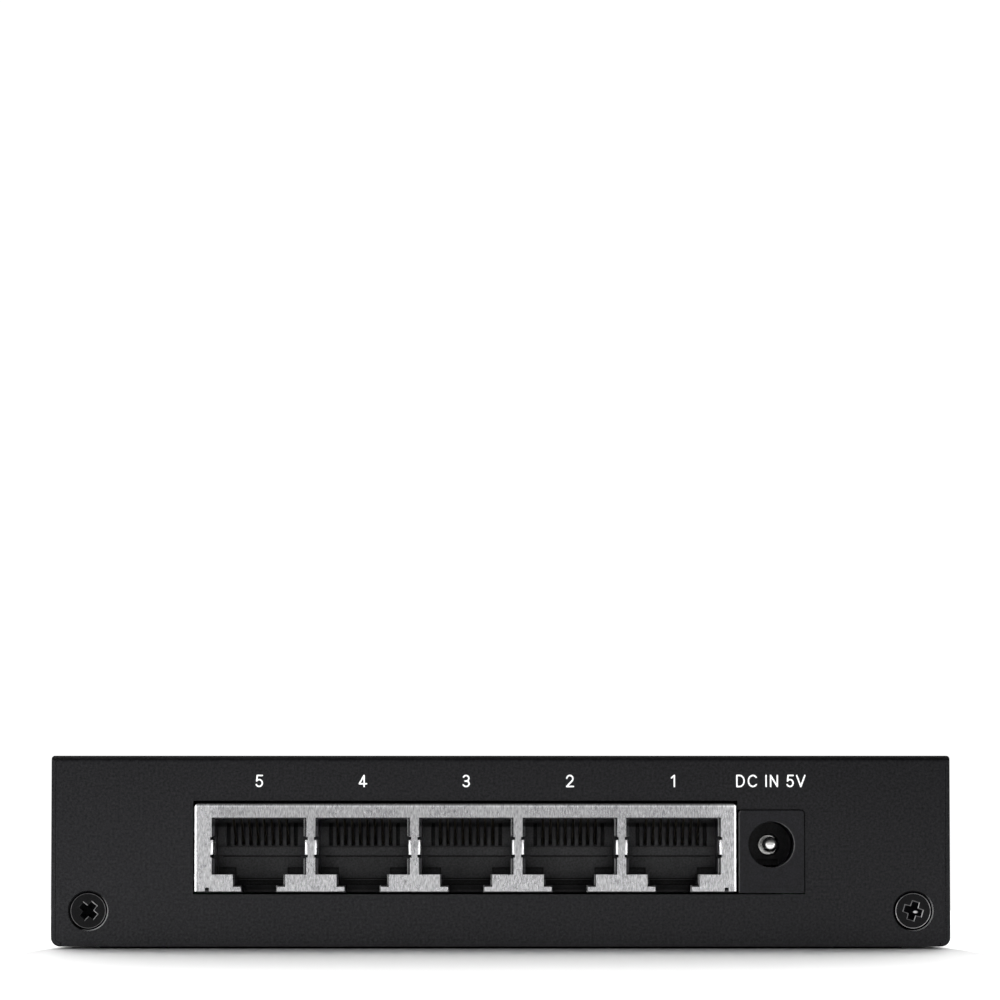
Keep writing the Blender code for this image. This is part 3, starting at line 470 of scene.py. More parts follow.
def powder_coat():
    """Matte black powder paint: a fine orange-peel grain, slow cloudiness and edges rubbed a little paler,
    with painted shade on folds and in gaps, a painted falloff of light across the case and painted highlights
    on the countersinks' rims.
    """
    made, tree, shader = new_material("powder_coat", (0.012, 0.012, 0.0135), 0.5, specular=0.30)
    fine = noise(tree, 0.34, detail=3.0, roughness=0.7)
    peel = noise(tree, 0.62, detail=3.0)
    cloud = noise(tree, 11.0, detail=2.0)
    tint = mottled(tree, fine, (0.0048, 0.0048, 0.0064), (0.0125, 0.0125, 0.0152))
    scuffs = spread(tree, peel, 0.15, 0.9)
    patchy = calculated(tree, "MULTIPLY", edge_mask(tree, 0.16), scuffs, ("Result", "Result"))
    worn = towards(tree, patchy, "Value", tint, (0.024, 0.024, 0.026))
    # Painted shade on the fold, in the paint's colour and in its shine
    fold = fold_shade(tree)
    level = shader.inputs["Specular IOR Level"].default_value
    shine = calculated(tree, "MULTIPLY", fold, level, ("Color", "Value"))
    painted_falloff = sheen_across(tree)
    # Painted shade in gaps, and the painted falloff of light across the case
    painted_shade_and_falloff = calculated(tree, "MULTIPLY", crevice(tree, PAINT_SHADE_REACH), painted_falloff, ("Result", "Value"))
    shaded = multiplied(tree, worn, calculated(tree, "MULTIPLY", fold, painted_shade_and_falloff, ("Color", "Value")))
    # Painted highlights on the countersinks' rims
    wear_and_painted_light = towards(tree, sink_rims(tree), "Value", shaded, (0.78, 0.78, 0.79))
    wire(tree, wear_and_painted_light, "Result", shader, "Base Color")
    glitter = calculated(tree, "MULTIPLY", shine, spread(tree, fine, 0.66, 1.34), ("Value", "Result"))
    glitter = calculated(tree, "MULTIPLY", glitter, painted_shade_and_falloff)
    wire(tree, glitter, "Value", shader, "Specular IOR Level")
    wire(tree, spread(tree, cloud, 0.515, 0.545), "Result", shader, "Roughness")
    first = bump(tree, shader, fine, "Fac", 1.0, 0.045)
    bump(tree, shader, peel, "Fac", 0.6, 0.045, after=first)
    return made


def handled(tree):
    """Painted reflection on the plating: dimmer round and above the mouths, brighter low down and at the
    ends.
    """
    split = axes(tree)
    height = between(tree, split, "Z", *REFLECTION_HEIGHTS, REFLECTION_BRIGHT, REFLECTION_DIM)
    low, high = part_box("jack_shield")
    half = (high.x - low.x) / 2
    across = calculated(tree, "SUBTRACT", split, (low.x + high.x) / 2, ("X", "Value"))
    away = calculated(tree, "ABSOLUTE", across, 0.0)
    ends = between(tree, away, "Value", half - REFLECTION_ENDS[0], half - REFLECTION_ENDS[1], REFLECTION_DIM, REFLECTION_BRIGHT)
    return calculated(tree, "MAXIMUM", height, ends, ("Result", "Result"))


def tin_plate():
    """Bright tin over pressed steel, with a fine vertical rolling grain and soft smudges, a painted
    reflection that varies across it, painted shade and a painted highlight line along its top edge, and
    painted highlights on its sideways bends.
    """
    made, tree, shader = new_material("tin_plate", (0.60, 0.60, 0.61), 0.30, metallic=1.0)
    grain = noise(tree, 0.16, detail=4.0, stretch=(1.0, 1.0, 4.5), roughness=0.65)
    line = noise(tree, 0.11, detail=3.0, stretch=(1.0, 1.0, 16.0))
    smudge = noise(tree, 4.0, detail=3.0)
    tint = mottled(tree, grain, (0.30, 0.30, 0.31), (0.90, 0.90, 0.91))
    shade = mottled(tree, smudge, (0.93, 0.93, 0.94), (1.0, 1.0, 1.0))
    both = multiplied(tree, tint, shade, ("Result", "Result"))
    # Painted reflection across the plate, with painted shade and a painted highlight line along its top edge
    tone = calculated(tree, "MULTIPLY", handled(tree), tone_by_height(tree, SHIELD_PAINTED_EDGE))
    toned = multiplied(tree, both, tone)
    # Painted highlight: faces turned sideways at the bends are made paler
    normal = axes(tree, "ShaderNodeNewGeometry", "Normal")
    sideways = calculated(tree, "ABSOLUTE", normal, 0.0, ("X", "Value"))
    side_highlight = between(tree, sideways, "Value", 0.1, 0.5)
    wire(tree, towards(tree, side_highlight, "Result", toned, (0.95, 0.95, 0.96)), "Result", shader, "Base Color")
    wire(tree, spread(tree, smudge, 0.22, 0.32), "Result", shader, "Roughness")
    first = bump(tree, shader, grain, "Fac", 0.45, 0.008)
    bump(tree, shader, line, "Fac", 0.35, 0.006, after=first)
    return made


def moulded_plastic(
    name, colour, low, high, grain_mm, grain_deep, specular=0.4, contrast=1.7, deep=False, lip=None
):
    """Injection-moulded black plastic: spark-eroded grain, faint flow marks and slightly glossier edges."""
    made, tree, shader = new_material(name, colour, (low + high) / 2, specular=specular)
    grain = noise(tree, grain_mm, detail=3.0)
    flow = noise(tree, 3.5, detail=2.0, stretch=(1.0, 1.0, 3.0))
    paler = tuple(c * contrast for c in colour)
    tint = mottled(tree, grain, colour, paler)
    if deep:
        tint = socket_shade(tree, tint, shader)
    if lip:
        tint = lit_lips(tree, tint, *lip)
    wire(tree, tint, "Result", shader, "Base Color")
    wire(tree, spread(tree, flow, low, high), "Result", shader, "Roughness")
    bump(tree, shader, grain, "Fac", 0.3, grain_deep)
    return made


def plated_metal(name, colour, low, high, root=None):
    """Plated metal with fine lines and patchy tarnish; root is a depth in mm past which the metal gets
    painted shade, and the share kept there.
    """
    made, tree, shader = new_material(name, colour, (low + high) / 2, metallic=1.0)
    lines = noise(tree, 0.08, detail=3.0, stretch=(1.0, 12.0, 1.0))
    patches = noise(tree, 1.1, detail=3.0)
    duller = tuple(c * 0.72 for c in colour)
    tint = mottled(tree, patches, duller, colour)
    if root:
        depth, share = root
        outer = ramp_down(tree, axes(tree), "Y", (depth - 0.1) * MM, depth * MM)
        tint = multiplied(tree, tint, calculated(tree, "MAXIMUM", outer, share, ("Result", "Value")))
    wire(tree, tint, "Result", shader, "Base Color")
    wire(tree, spread(tree, patches, high, low), "Result", shader, "Roughness")
    bump(tree, shader, lines, "Fac", 0.25, 0.004)
    return made


def soft_rubber():
    made, tree, shader = new_material("soft_rubber", (0.018, 0.018, 0.019), 0.8, specular=0.3)
    grit = noise(tree, 0.12, detail=4.0)
    dust = noise(tree, 1.8, detail=3.0)
    tint = mottled(tree, dust, (0.014, 0.014, 0.015), (0.034, 0.033, 0.032))
    wire(tree, tint, "Result", shader, "Base Color")
    wire(tree, spread(tree, grit, 0.7, 0.95), "Result", shader, "Roughness")
    bump(tree, shader, grit, "Fac", 0.5, 0.03)
    return made


def clear_plastic(name, tint_low, tint_high):
    """Milky clear moulding: light passes through, with a faint frosting that varies across it."""
    made, tree, shader = new_material(name, tint_high, 0.25)
    frost = noise(tree, 0.60, detail=2.0)
    tint = mottled(tree, frost, tint_low, tint_high)
    wire(tree, tint, "Result", shader, "Base Color")
    wire(tree, spread(tree, frost, 0.24, 0.36), "Result", shader, "Roughness")
    shader.inputs["Transmission Weight"].default_value = 0.35
    shader.inputs["IOR"].default_value = 1.49
    bump(tree, shader, frost, "Fac", 0.05, 0.01)
    return made


def solder_mask():
    """Green mask over copper: pale tracks run under it in a square pattern, with a slight gloss change."""
    made, tree, shader = new_material("solder_mask", (0.010, 0.085, 0.035), 0.4)
    mapping = place(tree, (420.0, 420.0, 420.0))
    tracks = tree.nodes.new("ShaderNodeTexBrick")
    tracks.inputs["Scale"].default_value = 1.0
    tracks.inputs["Mortar Size"].default_value = 0.035
    tracks.inputs["Color1"].default_value = (0.008, 0.070, 0.028, 1.0)
    tracks.inputs["Color2"].default_value = (0.010, 0.082, 0.034, 1.0)
    tracks.inputs["Mortar"].default_value = (0.030, 0.150, 0.060, 1.0)
    wire(tree, mapping, "Vector", tracks, "Vector")
    wire(tree, tracks, "Color", shader, "Base Color")
    weave = noise(tree, 0.5, detail=3.0)
    wire(tree, spread(tree, weave, 0.28, 0.50), "Result", shader, "Roughness")
    bump(tree, shader, tracks, "Fac", 0.3, 0.03)
    return made


def print_ink():
    """White pad-printed ink, a little uneven where it crosses the paint's grain; it also glows faintly, as
    painted light.
    """
    made, tree, shader = new_material("print_ink", (0.86, 0.86, 0.86), 0.55, specular=0.3)
    thin = noise(tree, 0.16, detail=3.0)
    tint = mottled(tree, thin, (0.86, 0.86, 0.87), (0.97, 0.97, 0.97))
    wire(tree, tint, "Result", shader, "Base Color")
    wire(tree, tint, "Result", shader, "Emission Color")
    # Painted light: the ink glows faintly
    shader.inputs["Emission Strength"].default_value = INK_GLOW
    wire(tree, spread(tree, thin, 0.45, 0.65), "Result", shader, "Roughness")
    bump(tree, shader, thin, "Fac", 0.2, 0.006)
    return made


def black_oxide(name, glint_node=None):
    """Blackened steel screw: pits, bare metal where it has rubbed and as painted highlight, painted shade
    deep in the recess, and a painted glint in a named screw.
    """
    made, tree, shader = new_material(name, (0.004, 0.004, 0.0045), 0.40, specular=0.12)
    pits = noise(tree, 0.14, detail=4.0)
    patches = noise(tree, 0.55, detail=3.0)
    wear_and_painted_light = tree.nodes.new("ShaderNodeAttribute")
    wear_and_painted_light.attribute_name = WEAR_AND_LIGHT
    bare_and_lit = calculated(tree, "MAXIMUM", wear_and_painted_light, 0.0, ("Fac", "Value"))
    wear_and_glints = calculated(tree, "MULTIPLY", bare_and_lit, spread(tree, patches, 0.45, 1.0), ("Value", "Result"))
    # Painted shade: faces marked -1, deep in the recess and on the rim, lose their shine
    painted_shade_share = ramp_down(tree, wear_and_painted_light, "Fac", 0.0, -1.0)
    # Painted glint: a bright bare patch deep in the named screw's recess
    if glint_node:
        x, z = middle_of(glint_node)
        centre = (x + GLINT_OFFSET[0], z + GLINT_OFFSET[1])
        glint = ramp_down(tree, across_panel(tree, centre, GLINT_RADII), "Value", 0.75, 1.15)
        deep = ramp_down(tree, wear_and_painted_light, "Fac", -1.0, -0.5)
        glint = calculated(tree, "MULTIPLY", glint, deep, ("Result", "Result"))
        wear_and_glints = calculated(tree, "MAXIMUM", wear_and_glints, glint)
    dark = mottled(tree, pits, (0.002, 0.002, 0.0024), (0.009, 0.009, 0.010))
    tint = towards(tree, wear_and_glints, "Value", dark, (0.75, 0.75, 0.76))
    wire(tree, tint, "Result", shader, "Base Color")
    dim_shine(tree, shader, painted_shade_share, "Result")
    wire(tree, wear_and_glints, "Value", shader, "Metallic")
    wire(tree, spread(tree, pits, 0.32, 0.50), "Result", shader, "Roughness")
    bump(tree, shader, pits, "Fac", 0.5, 0.015)
    return made


def make_materials():
    plastic = moulded_plastic
    return {
        "powder_coat": powder_coat(),
        "tinned_steel": tin_plate(),
        "jack_plastic": plastic(
            "jack_plastic", (0.0130, 0.0130, 0.0150), 0.30, 0.46, 0.24, 0.035,
            contrast=3.2, deep=True, lip=(0.34, 0.42),
        ),
        "power_jack_plastic": plastic(
            "power_jack_plastic", (0.0016, 0.0016, 0.0022), 0.36, 0.52, 0.20, 0.040,
            specular=0.24, contrast=7.0, lip=(0.24, 0.17),
        ),
        "bezel_plastic": plastic(
            "bezel_plastic", (0.0060, 0.0060, 0.0070), 0.47, 0.52, 0.26, 0.040, specular=0.26, contrast=2.6
        ),
        # The contacts' gold is dark, partly as tarnish and partly as painted shade for contacts deep in the
        # sockets
        "gold_contact": plated_metal("gold_contact", (0.26, 0.24, 0.19), 0.35, 0.50),
        "plated_contact": plated_metal("plated_contact", (0.70, 0.69, 0.66), 0.16, 0.34),
        "polished_pin": plated_metal("polished_pin", (0.98, 0.98, 0.96), 0.10, 0.20, root=COLLAR_SHADE),
        "zinc_screw": plated_metal("zinc_screw", (0.62, 0.62, 0.58), 0.22, 0.42),
        "brass": plated_metal("brass", (0.72, 0.53, 0.25), 0.22, 0.45),
        "can_aluminium": plated_metal("can_aluminium", (0.66, 0.67, 0.68), 0.20, 0.36),
        "rubber": soft_rubber(),
        "clear_plastic": clear_plastic("clear_plastic", (0.72, 0.74, 0.74), (0.86, 0.87, 0.87)),
        "lamp_lens": clear_plastic("lamp_lens", (0.62, 0.74, 0.64), (0.78, 0.86, 0.78)),
        "board_green": solder_mask(),
        "chip_black": plastic("chip_epoxy", (0.016, 0.016, 0.017), 0.50, 0.68, 0.10, 0.012),
        "ferrite": plastic("ferrite", (0.034, 0.032, 0.030), 0.60, 0.82, 0.14, 0.020),
        "black_screw": black_oxide("black_oxide"),
        "glinting_screw": black_oxide("black_oxide_glinting", "cover_screw_right"),
        "print_ink": print_ink(),
    }


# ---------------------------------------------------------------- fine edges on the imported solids


def smooth_group(angle):
    """A modifier that shades smooth across every edge gentler than angle."""
    group = bpy.data.node_groups.new(f"smooth_{round(angle)}", "GeometryNodeTree")
    group.interface.new_socket("Geometry", in_out="INPUT", socket_type="NodeSocketGeometry")
    group.interface.new_socket("Geometry", in_out="OUTPUT", socket_type="NodeSocketGeometry")
    start = group.nodes.new("NodeGroupInput")
    end = group.nodes.new("NodeGroupOutput")
    faces = group.nodes.new("GeometryNodeSetShadeSmooth")
    faces.domain = "FACE"
    edges = group.nodes.new("GeometryNodeSetShadeSmooth")
    edges.domain = "EDGE"
    edges.inputs["Shade Smooth"].default_value = False
    bend = group.nodes.new("GeometryNodeInputMeshEdgeAngle")
    sharp = group.nodes.new("FunctionNodeCompare")
    sharp.data_type = "FLOAT"
    sharp.operation = "GREATER_THAN"
    sharp.inputs["B"].default_value = math.radians(angle)
    group.links.new(bend.outputs["Unsigned Angle"], sharp.inputs["A"])
    group.links.new(start.outputs[0], faces.inputs["Geometry"])
    group.links.new(faces.outputs["Geometry"], edges.inputs["Geometry"])
    group.links.new(sharp.outputs["Result"], edges.inputs["Selection"])
    group.links.new(edges.outputs["Geometry"], end.inputs[0])
    return group


def refine(obj, radius_mm, segments, group):
    """Welds and cleans a faceted solid, rounds its edges and evens its shading."""
    weld = obj.modifiers.new("weld", "WELD")
    weld.merge_threshold = 0.000001
    flat = obj.modifiers.new("flat", "DECIMATE")
    flat.decimate_type = "DISSOLVE"
    flat.angle_limit = math.radians(0.5)
    if radius_mm:
        edge = obj.modifiers.new("edge", "BEVEL")
        edge.width = radius_mm * MM
        edge.segments = segments
        edge.limit_method = "ANGLE"
        edge.angle_limit = math.radians(EDGE_ANGLE)
        edge.use_clamp_overlap = True
    smooth = obj.modifiers.new("smooth", "NODES")
    smooth.node_group = group
    even = obj.modifiers.new("even", "WEIGHTED_NORMAL")
    even.keep_sharp = True


def dress_nodes(materials):
    """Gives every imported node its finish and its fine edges."""
    slots = {part["node"]: part["material_slot"] for part in frame["record"]["subparts"]}
    group = smooth_group(SMOOTH_ANGLE)
    for name, node in frame["nodes"].items():
        finish = "power_jack_plastic" if name == "dc_jack_body" else slots[name]
        node.data.materials.clear()
        node.data.materials.append(materials[finish])
        radius, segments = EDGES.get(name.rstrip("_0123456789"), (0.0, 1))
        refine(node, radius, segments, group)


# ---------------------------------------------------------------- new pieces


def mesh_object(name, bm, material=None):
    """A linked object with the mesh that bm holds; bm is freed."""
    mesh = bpy.data.meshes.new(name)
    bm.to_mesh(mesh)
    bm.free()
    if material:
        mesh.materials.append(material)
    made = bpy.data.objects.new(name, mesh)
    bpy.context.scene.collection.objects.link(made)
    return made


def baked(obj, name, material):
    """Applies an object's modifiers, leaving a plain mesh object that rides on the case."""
    bpy.context.view_layer.update()
    graph = bpy.context.evaluated_depsgraph_get()
    mesh = bpy.data.meshes.new_from_object(obj.evaluated_get(graph))
    mesh.name = name
    mesh.transform(obj.matrix_world)
    bpy.data.objects.remove(obj, do_unlink=True)
    mesh.materials.clear()
    mesh.materials.append(material)
    mesh.shade_smooth()
    mesh.set_sharp_from_angle(angle=math.radians(TURNED_SMOOTH_ANGLE))
    piece = bpy.data.objects.new(name, mesh)
    bpy.context.scene.collection.objects.link(piece)
    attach(piece, CASE)
    return piece


def arc(centre, radii, start, end, steps=10):
    """Points along part of an ellipse, angles in degrees."""
    turns = [math.radians(start + (end - start) * i / steps) for i in range(steps + 1)]
    return [(centre[0] + radii[0] * math.cos(t), centre[1] + radii[1] * math.sin(t)) for t in turns]


def glyph_strokes():
    """Each character as (advance width, strokes), in cap heights, drawn along the middle of its strokes."""
    low, high = 0.078, 0.922
    return {
        "1": (0.40, [[(0.06, 0.74), (0.28, high), (0.28, low)]]),
        "2": (0.60, [arc((0.30, 0.675), (0.235, 0.247), 172, -38) + [(0.06, low), (0.57, low)]]),
        "3": (
            0.60,
            [
                arc((0.285, 0.708), (0.215, 0.214), 155, -90) + arc((0.285, 0.286), (0.238, 0.208), 90, -155),
                [(0.20, 0.494), (0.29, 0.494)],
            ],
        ),
        "4": (0.64, [[(0.61, 0.285), (0.055, 0.285), (0.42, high), (0.42, low)]]),
        "5": (
            0.60,
            [[(0.53, high), (0.15, high), (0.105, 0.50)] + arc((0.29, 0.345), (0.245, 0.267), 140, -152)],
        ),
        "D": (
            0.72,
            [[(0.08, low), (0.08, high)] + arc((0.30, 0.5), (0.335, 0.422), 90, -90) + [(0.08, low)]],
        ),
        "C": (0.76, [arc((0.42, 0.5), (0.345, 0.422), 42, 318, 16)]),
        "I": (0.18, [[(0.09, low), (0.09, high)]]),
        "N": (0.70, [[(0.09, low), (0.09, high), (0.60, low), (0.60, high)]]),
        "V": (0.70, [[(0.04, high), (0.35, low), (0.66, high)]]),
        " ": (0.24, []),
    }


def stroke_shapes(stroke, half):
    """Flat shapes that together cover a stroke: a disc at each point and a bar along each segment."""
    shapes = []
    for u, v in stroke:
        turns = [math.tau * (i + 0.5) / ROUND_SIDES for i in range(ROUND_SIDES)]
        shapes.append([(u + half * math.cos(t), v + half * math.sin(t)) for t in turns])
    for (u, v), (p, q) in zip(stroke, stroke[1:]):
        long = math.hypot(p - u, q - v)
        if long < 1e-6:
            continue
        across = (-(q - v) / long * half, (p - u) / long * half)
        shapes.append([
            (u - across[0], v - across[1]), (p - across[0], q - across[1]),
            (p + across[0], q + across[1]), (u + across[0], v + across[1]),
        ])
    return shapes


def merged_outline(shapes):
    """One flat triangulation of everything the overlapping shapes cover."""
    points = []
    faces = []
    for shape in shapes:
        faces.append(list(range(len(points), len(points) + len(shape))))
        points += [Vector(p) for p in shape]
    spots, _, triangles, _, _, covered = delaunay_2d_cdt(points, [], faces, 0, 1e-6)
    return spots, [t for t, owners in zip(triangles, covered) if owners]


def printed(name, text, centre_x, panel_y, material):
    """Characters as thin raised ink on the rear panel, centred on centre_x."""
    glyphs = glyph_strokes()
    widths = [glyphs[c][0] for c in text]
    total = sum(widths) + LETTER_GAP * (len(text) - 1)
    cursor = -total / 2
    bm = bmesh.new()
    for character, width in zip(text, widths):
        shapes = []
        for stroke in glyphs[character][1]:
            shapes += stroke_shapes([(cursor + u, v) for u, v in stroke], STROKE / CAP_HEIGHT / 2)
        if shapes:
            spots, triangles = merged_outline(shapes)
            place_at = [(centre_x + u * CAP_HEIGHT, BASELINE_Z + v * CAP_HEIGHT) for u, v in spots]
            back = [bm.verts.new((x, panel_y + INK_SINK, z)) for x, z in place_at]
            flat = [bm.faces.new([back[i] for i in t]) for t in triangles]
            raised = bmesh.ops.extrude_face_region(bm, geom=flat, use_keep_orig=True)["geom"]
            lifted = [part for part in raised if isinstance(part, bmesh.types.BMVert)]
            bmesh.ops.translate(bm, verts=lifted, vec=(0.0, -INK_SINK - INK_RISE, 0.0))
        cursor += width + LETTER_GAP
    bmesh.ops.delete(bm, geom=[v for v in bm.verts if not v.link_faces], context="VERTS")
    bmesh.ops.recalc_face_normals(bm, faces=bm.faces)
    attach(mesh_object(name, bm, material), CASE)


def print_markings(materials):
    panel_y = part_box("top_cover")[0].y
    ink = materials["print_ink"]
    for number in range(1, 6):
        printed(f"port_number_{number}", str(number), middle_of(f"contact_set_{number}")[0], panel_y, ink)
    printed("supply_legend", LEGEND, middle_of("dc_jack_body")[0] - LEGEND_LEFT, panel_y, ink)


def turned(name, profile, sides=72):
    """A solid turned about Y from (radius, y) points that start and end on the axis."""
    bm = bmesh.new()
    points = [bm.verts.new((radius, y, 0.0)) for radius, y in profile]
    rims = [bm.edges.new(pair) for pair in zip(points, points[1:])]
    bmesh.ops.spin(
        bm, geom=points + rims, cent=(0, 0, 0), axis=(0, 1, 0), angle=math.tau, steps=sides, use_merge=True
    )
    bmesh.ops.remove_doubles(bm, verts=bm.verts, dist=1e-8)
    bmesh.ops.recalc_face_normals(bm, faces=bm.faces)
    return mesh_object(name, bm)


def add_arm(bm, quarter, shallow, deep):
    """One arm of the recess, from a shallow to a deep (depth, reach, half width), turned by quarters."""
    made = bmesh.ops.create_cube(bm, size=1.0)["verts"]
    for vert in made:
        depth, reach, half = deep if vert.co.y > 0 else shallow
        outward = vert.co.x > 0
        side = math.copysign(half if outward else half * 1.18, vert.co.z)
        vert.co = Vector((reach if outward else -0.1 * MM, depth, side))
    turn = Matrix.Rotation(math.radians(90 * quarter), 3, "Y")
    bmesh.ops.rotate(bm, verts=made, cent=(0, 0, 0), matrix=turn)


def cross_recess(face_y):
    """The driver recess: four flared arms that narrow and rise away from the middle, round a tapered core."""
    bm = bmesh.new()
    half = CROSS_WIDTH / 2
    for quarter in range(4):
        add_arm(bm, quarter, (-0.3 * MM, CROSS_REACH, half), (CROSS_DEPTH, CROSS_REACH * 0.45, half * 0.62))
        flare = (-LIP_WIDTH, CROSS_REACH + 2 * LIP_WIDTH, half + 2 * LIP_WIDTH)
        add_arm(bm, quarter, flare, (LIP_WIDTH, CROSS_REACH * 0.95, half * 0.93))
    core = Matrix.Translation((0, CROSS_DEPTH / 2 - 0.1 * MM, 0)) @ Matrix.Rotation(math.radians(-90), 4, "X")
    bmesh.ops.create_cone(
        bm, cap_ends=True, segments=24, radius1=CROSS_WIDTH * 0.86, radius2=CROSS_WIDTH * 0.30,
        depth=CROSS_DEPTH + 0.3 * MM, matrix=core,
    )
    bmesh.ops.recalc_face_normals(bm, faces=bm.faces)
    made = mesh_object("cross", bm)
    made.matrix_world = Matrix.Translation((0, face_y, 0))
    return made


def mark_rubbed(mesh, face_y, centre, rim_level, lip_level):
    """Marks wear and painted light on faces: the bare rim as wear and painted highlight, painted highlight on
    the recess's lips that face left, and -1 as painted shade deep in the recess and on the rim's turned-away
    faces.
    """
    wear_and_light = mesh.attributes.new(WEAR_AND_LIGHT, "FLOAT", "FACE")
    for face in mesh.polygons:
        middle = face.center
        out = math.hypot(middle.x - centre[0], middle.z - centre[1])
        rounded = ROUNDED[0] < face.normal.y < ROUNDED[1]
        shallow = middle.y < face_y + RIM_DEEP
        if rounded and shallow and out > CROSS_REACH * 1.1:
            level = rim_level if face.normal.y < -RIM_LEAN else -1.0
        # Painted highlight on the recess's lips, more the more they face left
        elif rounded and middle.y < face_y + LIP_WIDTH:
            level = min(1.0, max(lip_level, -1.8 * face.normal.x))
        # Painted shade deep in the recess
        elif middle.y > face_y + LIP_WIDTH / 2 and out < CROSS_REACH:
            level = -1.0
        else:
            level = 0.0
        wear_and_light.data[face.index].value = level


def cover_screw(node, angle, rim_level, lip_level, material):
    """A countersunk screw with a rounded rim and a pressed cross recess, in place of the plain packed one."""
    low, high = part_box(node)
    x, z = middle_of(node)
    head = (high.x - low.x) / 2
    rim = []
    for degrees in range(0, 91, 15):
        turn = math.radians(degrees)
        rim.append((
            head - HEAD_EDGE * (1 - math.sin(turn)),
            low.y + HEAD_EDGE * 0.6 * (1 - math.cos(turn)),
        ))
    profile = [(0.0, low.y)] + rim
    profile += [(SHANK_RADIUS, low.y + NECK_DEPTH), (SHANK_RADIUS, high.y - TIP_BEVEL)]
    profile += [(SHANK_RADIUS - TIP_BEVEL, high.y), (0.0, high.y)]
    body = turned(node + "_body", profile)
    cutter = cross_recess(low.y)
    cutter.matrix_world = Matrix.Rotation(math.radians(angle), 4, "Y") @ cutter.matrix_world
    recess = body.modifiers.new("recess", "BOOLEAN")
    recess.object = cutter
    recess.solver = "EXACT"
    recess.use_self = True
    body.matrix_world = Matrix.Translation((x, 0.0, z))
    cutter.matrix_world = body.matrix_world @ cutter.matrix_world
    piece = baked(body, node + "_turned", material)
    bpy.data.objects.remove(cutter, do_unlink=True)
    mark_rubbed(piece.data, low.y, (x, z), rim_level, lip_level)
    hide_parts(node)


def power_pin(material):
    """The power socket's centre pin, domed and with a grooved collar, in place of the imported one."""
    low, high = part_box("dc_centre_pin")
    x, z = middle_of("dc_centre_pin")
    collar = (high.x - low.x) / 2
    front, back = (low.y + depth for depth in COLLAR_DEPTH)
    slope = math.asin((PIN_RADIUS - PIN_CORNER) / PIN_DOME)
    turns = [slope * i / DOME_STEPS for i in range(DOME_STEPS + 1)]
    dome = [(PIN_DOME * math.sin(t), low.y + PIN_DOME * (1 - math.cos(t))) for t in turns]
    groove_y = front + COLLAR_GROOVE
    profile = dome + [(PIN_RADIUS, dome[-1][1] + PIN_CORNER), (PIN_RADIUS, groove_y)]
    profile += [(collar - COLLAR_RIM, groove_y), (collar - COLLAR_RIM, front)]
    profile += [(collar - PIN_CORNER / 2, front), (collar, front + PIN_CORNER / 2)]
    profile += [(collar, back), (PIN_RADIUS, back), (PIN_RADIUS, high.y), (0.0, high.y)]
    body = turned("power_pin_body", profile)
    body.matrix_world = Matrix.Translation((x, 0.0, z))
    piece = baked(body, "dc_centre_pin_turned", material)
    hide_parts("dc_centre_pin")


# ---------------------------------------------------------------- stage, light and camera


def floor_material():
    made, tree, shader = new_material("pale_floor", (0.90, 0.90, 0.90), 0.85, specular=0.1)
    mottling = noise(tree, 60.0, detail=2.0)
    tint = mottled(tree, mottling, (0.895, 0.895, 0.895), (0.905, 0.905, 0.905))
    wire(tree, tint, "Result", shader, "Base Color")
    return made


def build_floor():
    """A pale floor, level under the object, that falls away gently on every side."""
    corner = cad_box[1]
    slope_drop = FLOOR_SLOPE_END * math.tan(math.radians(FLOOR_FALL))
    bm = bmesh.new()
    inner = None
    for reach, drop in ((0.0, 0.0), (FLOOR_SLOPE_END, slope_drop), (FLOOR_END, slope_drop + FLOOR_LAST_DROP)):
        x, y = corner[0] + reach, corner[1] + reach
        ring = [bm.verts.new((u, v, -drop)) for u, v in ((-x, -y), (x, -y), (x, y), (-x, y))]
        if inner is None:
            bm.faces.new(ring)
        else:
            for i in range(4):
                bm.faces.new((inner[i], ring[i], ring[(i + 1) % 4], inner[(i + 1) % 4]))
        inner = ring
    bmesh.ops.recalc_face_normals(bm, faces=bm.faces)
    if sum(face.normal.z for face in bm.faces) < 0:
        bmesh.ops.reverse_faces(bm, faces=bm.faces)
    mesh_object("floor", bm, floor_material())


def tent_level(tree):
    """Brightness of the tent: dim high up in front, bright above, behind and beside."""
    split = axes(tree, output="Generated")
    back = calculated(tree, "MULTIPLY", split, -1.0, ("Y", "Value"))
    turn = calculated(tree, "ARCTAN2", split, back, ("Z", "Value"))
    share = between(tree, turn, "Value", 0.0, math.pi)
    curve = curved(tree, share, "Result", [(degrees / 180.0, level) for degrees, level in TENT], TENT_PEAK)
    slant = between(tree, split, "X", -0.5, 0.5, *(TENT_PEAK * s for s in SLANT))
    total = calculated(tree, "MULTIPLY", curve, slant, ("Color", "Result"))
    rise = between(tree, split, "Z", *SIDE_TOP, smooth=True)
    for side, level in SIDE_PANELS:
        reach = (side * edge for edge in SIDE_REACH)
        panel = between(tree, split, "X", *reach, 0.0, level, smooth=True)
        lit = calculated(tree, "MULTIPLY", panel, rise, ("Result", "Result"))
        total = calculated(tree, "ADD", lit, total)
    return total


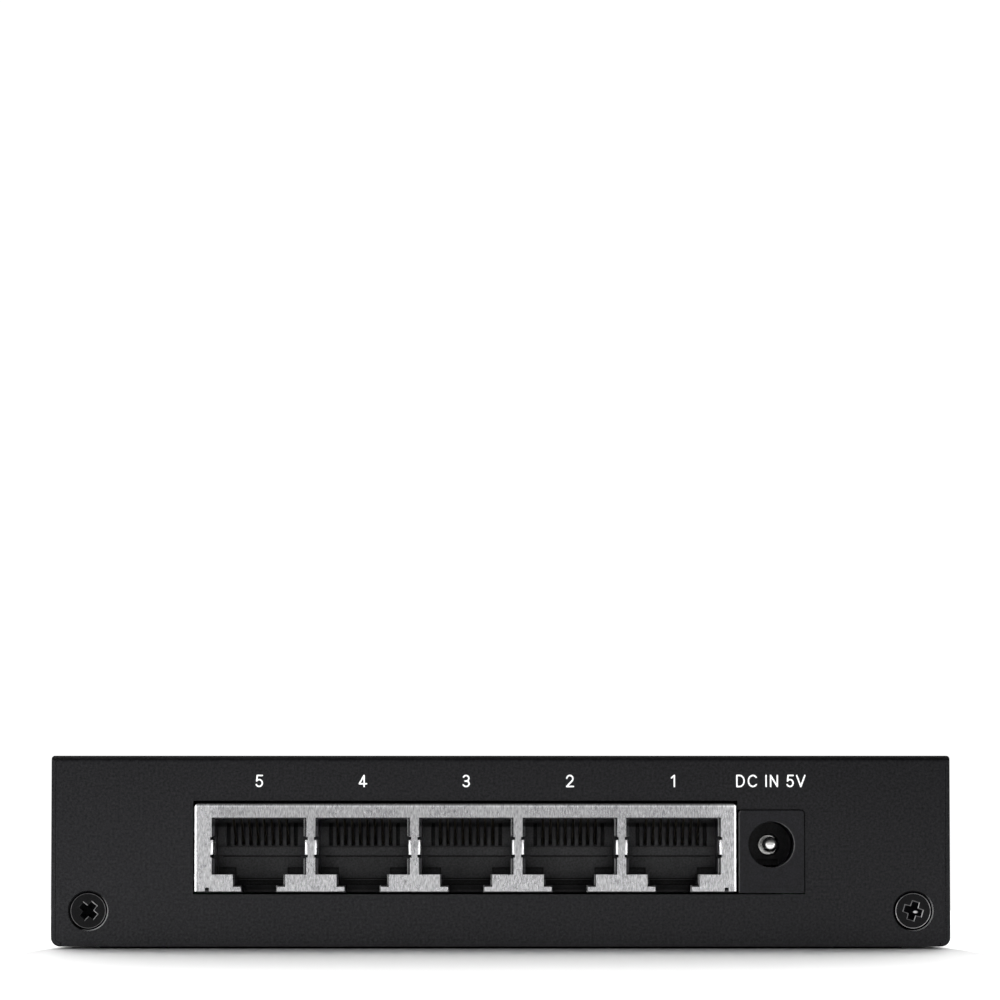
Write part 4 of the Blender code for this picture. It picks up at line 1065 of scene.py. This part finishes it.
def build_world():
    """White seen directly; as light, a studio tent."""
    world = bpy.data.worlds.new("studio")
    bpy.context.scene.world = world
    world.use_nodes = True
    tree = world.node_tree
    tree.nodes.clear()
    out = tree.nodes.new("ShaderNodeOutputWorld")
    seen = tree.nodes.new("ShaderNodeBackground")
    seen.inputs["Color"].default_value = (1.0, 1.0, 1.0, 1.0)
    seen.inputs["Strength"].default_value = BACKDROP
    tent = tree.nodes.new("ShaderNodeBackground")
    wire(tree, tent_level(tree), "Value", tent, "Strength")
    rays = tree.nodes.new("ShaderNodeLightPath")
    mix = tree.nodes.new("ShaderNodeMixShader")
    wire(tree, rays, "Is Camera Ray", mix, "Fac")
    tree.links.new(tent.outputs["Background"], mix.inputs[1])
    tree.links.new(seen.outputs["Background"], mix.inputs[2])
    wire(tree, mix, "Shader", out, "Surface")


def build_softbox():
    light = bpy.data.lights.new("softbox_top", "AREA")
    light.shape = "RECTANGLE"
    light.size = light.size_y = SOFTBOX_SIZE
    light.energy = SOFTBOX_WATTS
    lamp = bpy.data.objects.new("softbox_top", light)
    lamp.location = SOFTBOX_PLACE
    aim = Vector(SOFTBOX_TARGET) - Vector(SOFTBOX_PLACE)
    lamp.rotation_euler = aim.to_track_quat("-Z", "Y").to_euler()
    bpy.context.scene.collection.objects.link(lamp)


def build_camera():
    """Level with the sockets and straight behind, tipped up so the object stands low in the frame."""
    focal_pixels = PIXELS_PER_MM / MM * CAMERA_DISTANCE
    camera = bpy.data.cameras.new("camera")
    camera.sensor_width = SENSOR
    camera.lens = focal_pixels * SENSOR / FRAME_PIXELS
    camera.clip_start = 0.01
    camera.clip_end = 50.0
    eye = bpy.data.objects.new("camera", camera)
    bpy.context.scene.collection.objects.link(eye)
    below = math.atan2(CAMERA_HEIGHT, CAMERA_DISTANCE)
    row_angle = math.atan2(BASE_ROW - FRAME_PIXELS / 2, focal_pixels)
    eye.location = (-CAMERA_LEFT, cad_box[0][1] - CAMERA_DISTANCE, CAMERA_HEIGHT)
    eye.rotation_euler = (math.radians(90) + row_angle - below, 0.0, 0.0)
    bpy.context.scene.camera = eye


def main():
    materials = make_materials()
    dress_nodes(materials)
    print_markings(materials)
    for node, (angle, rim_level, lip_level, finish) in SCREWS.items():
        cover_screw(node, angle, rim_level, lip_level, materials[finish])
    power_pin(materials["polished_pin"])
    build_floor()
    build_world()
    build_softbox()
    build_camera()
    bpy.context.scene.view_settings.view_transform = "Standard"


main()
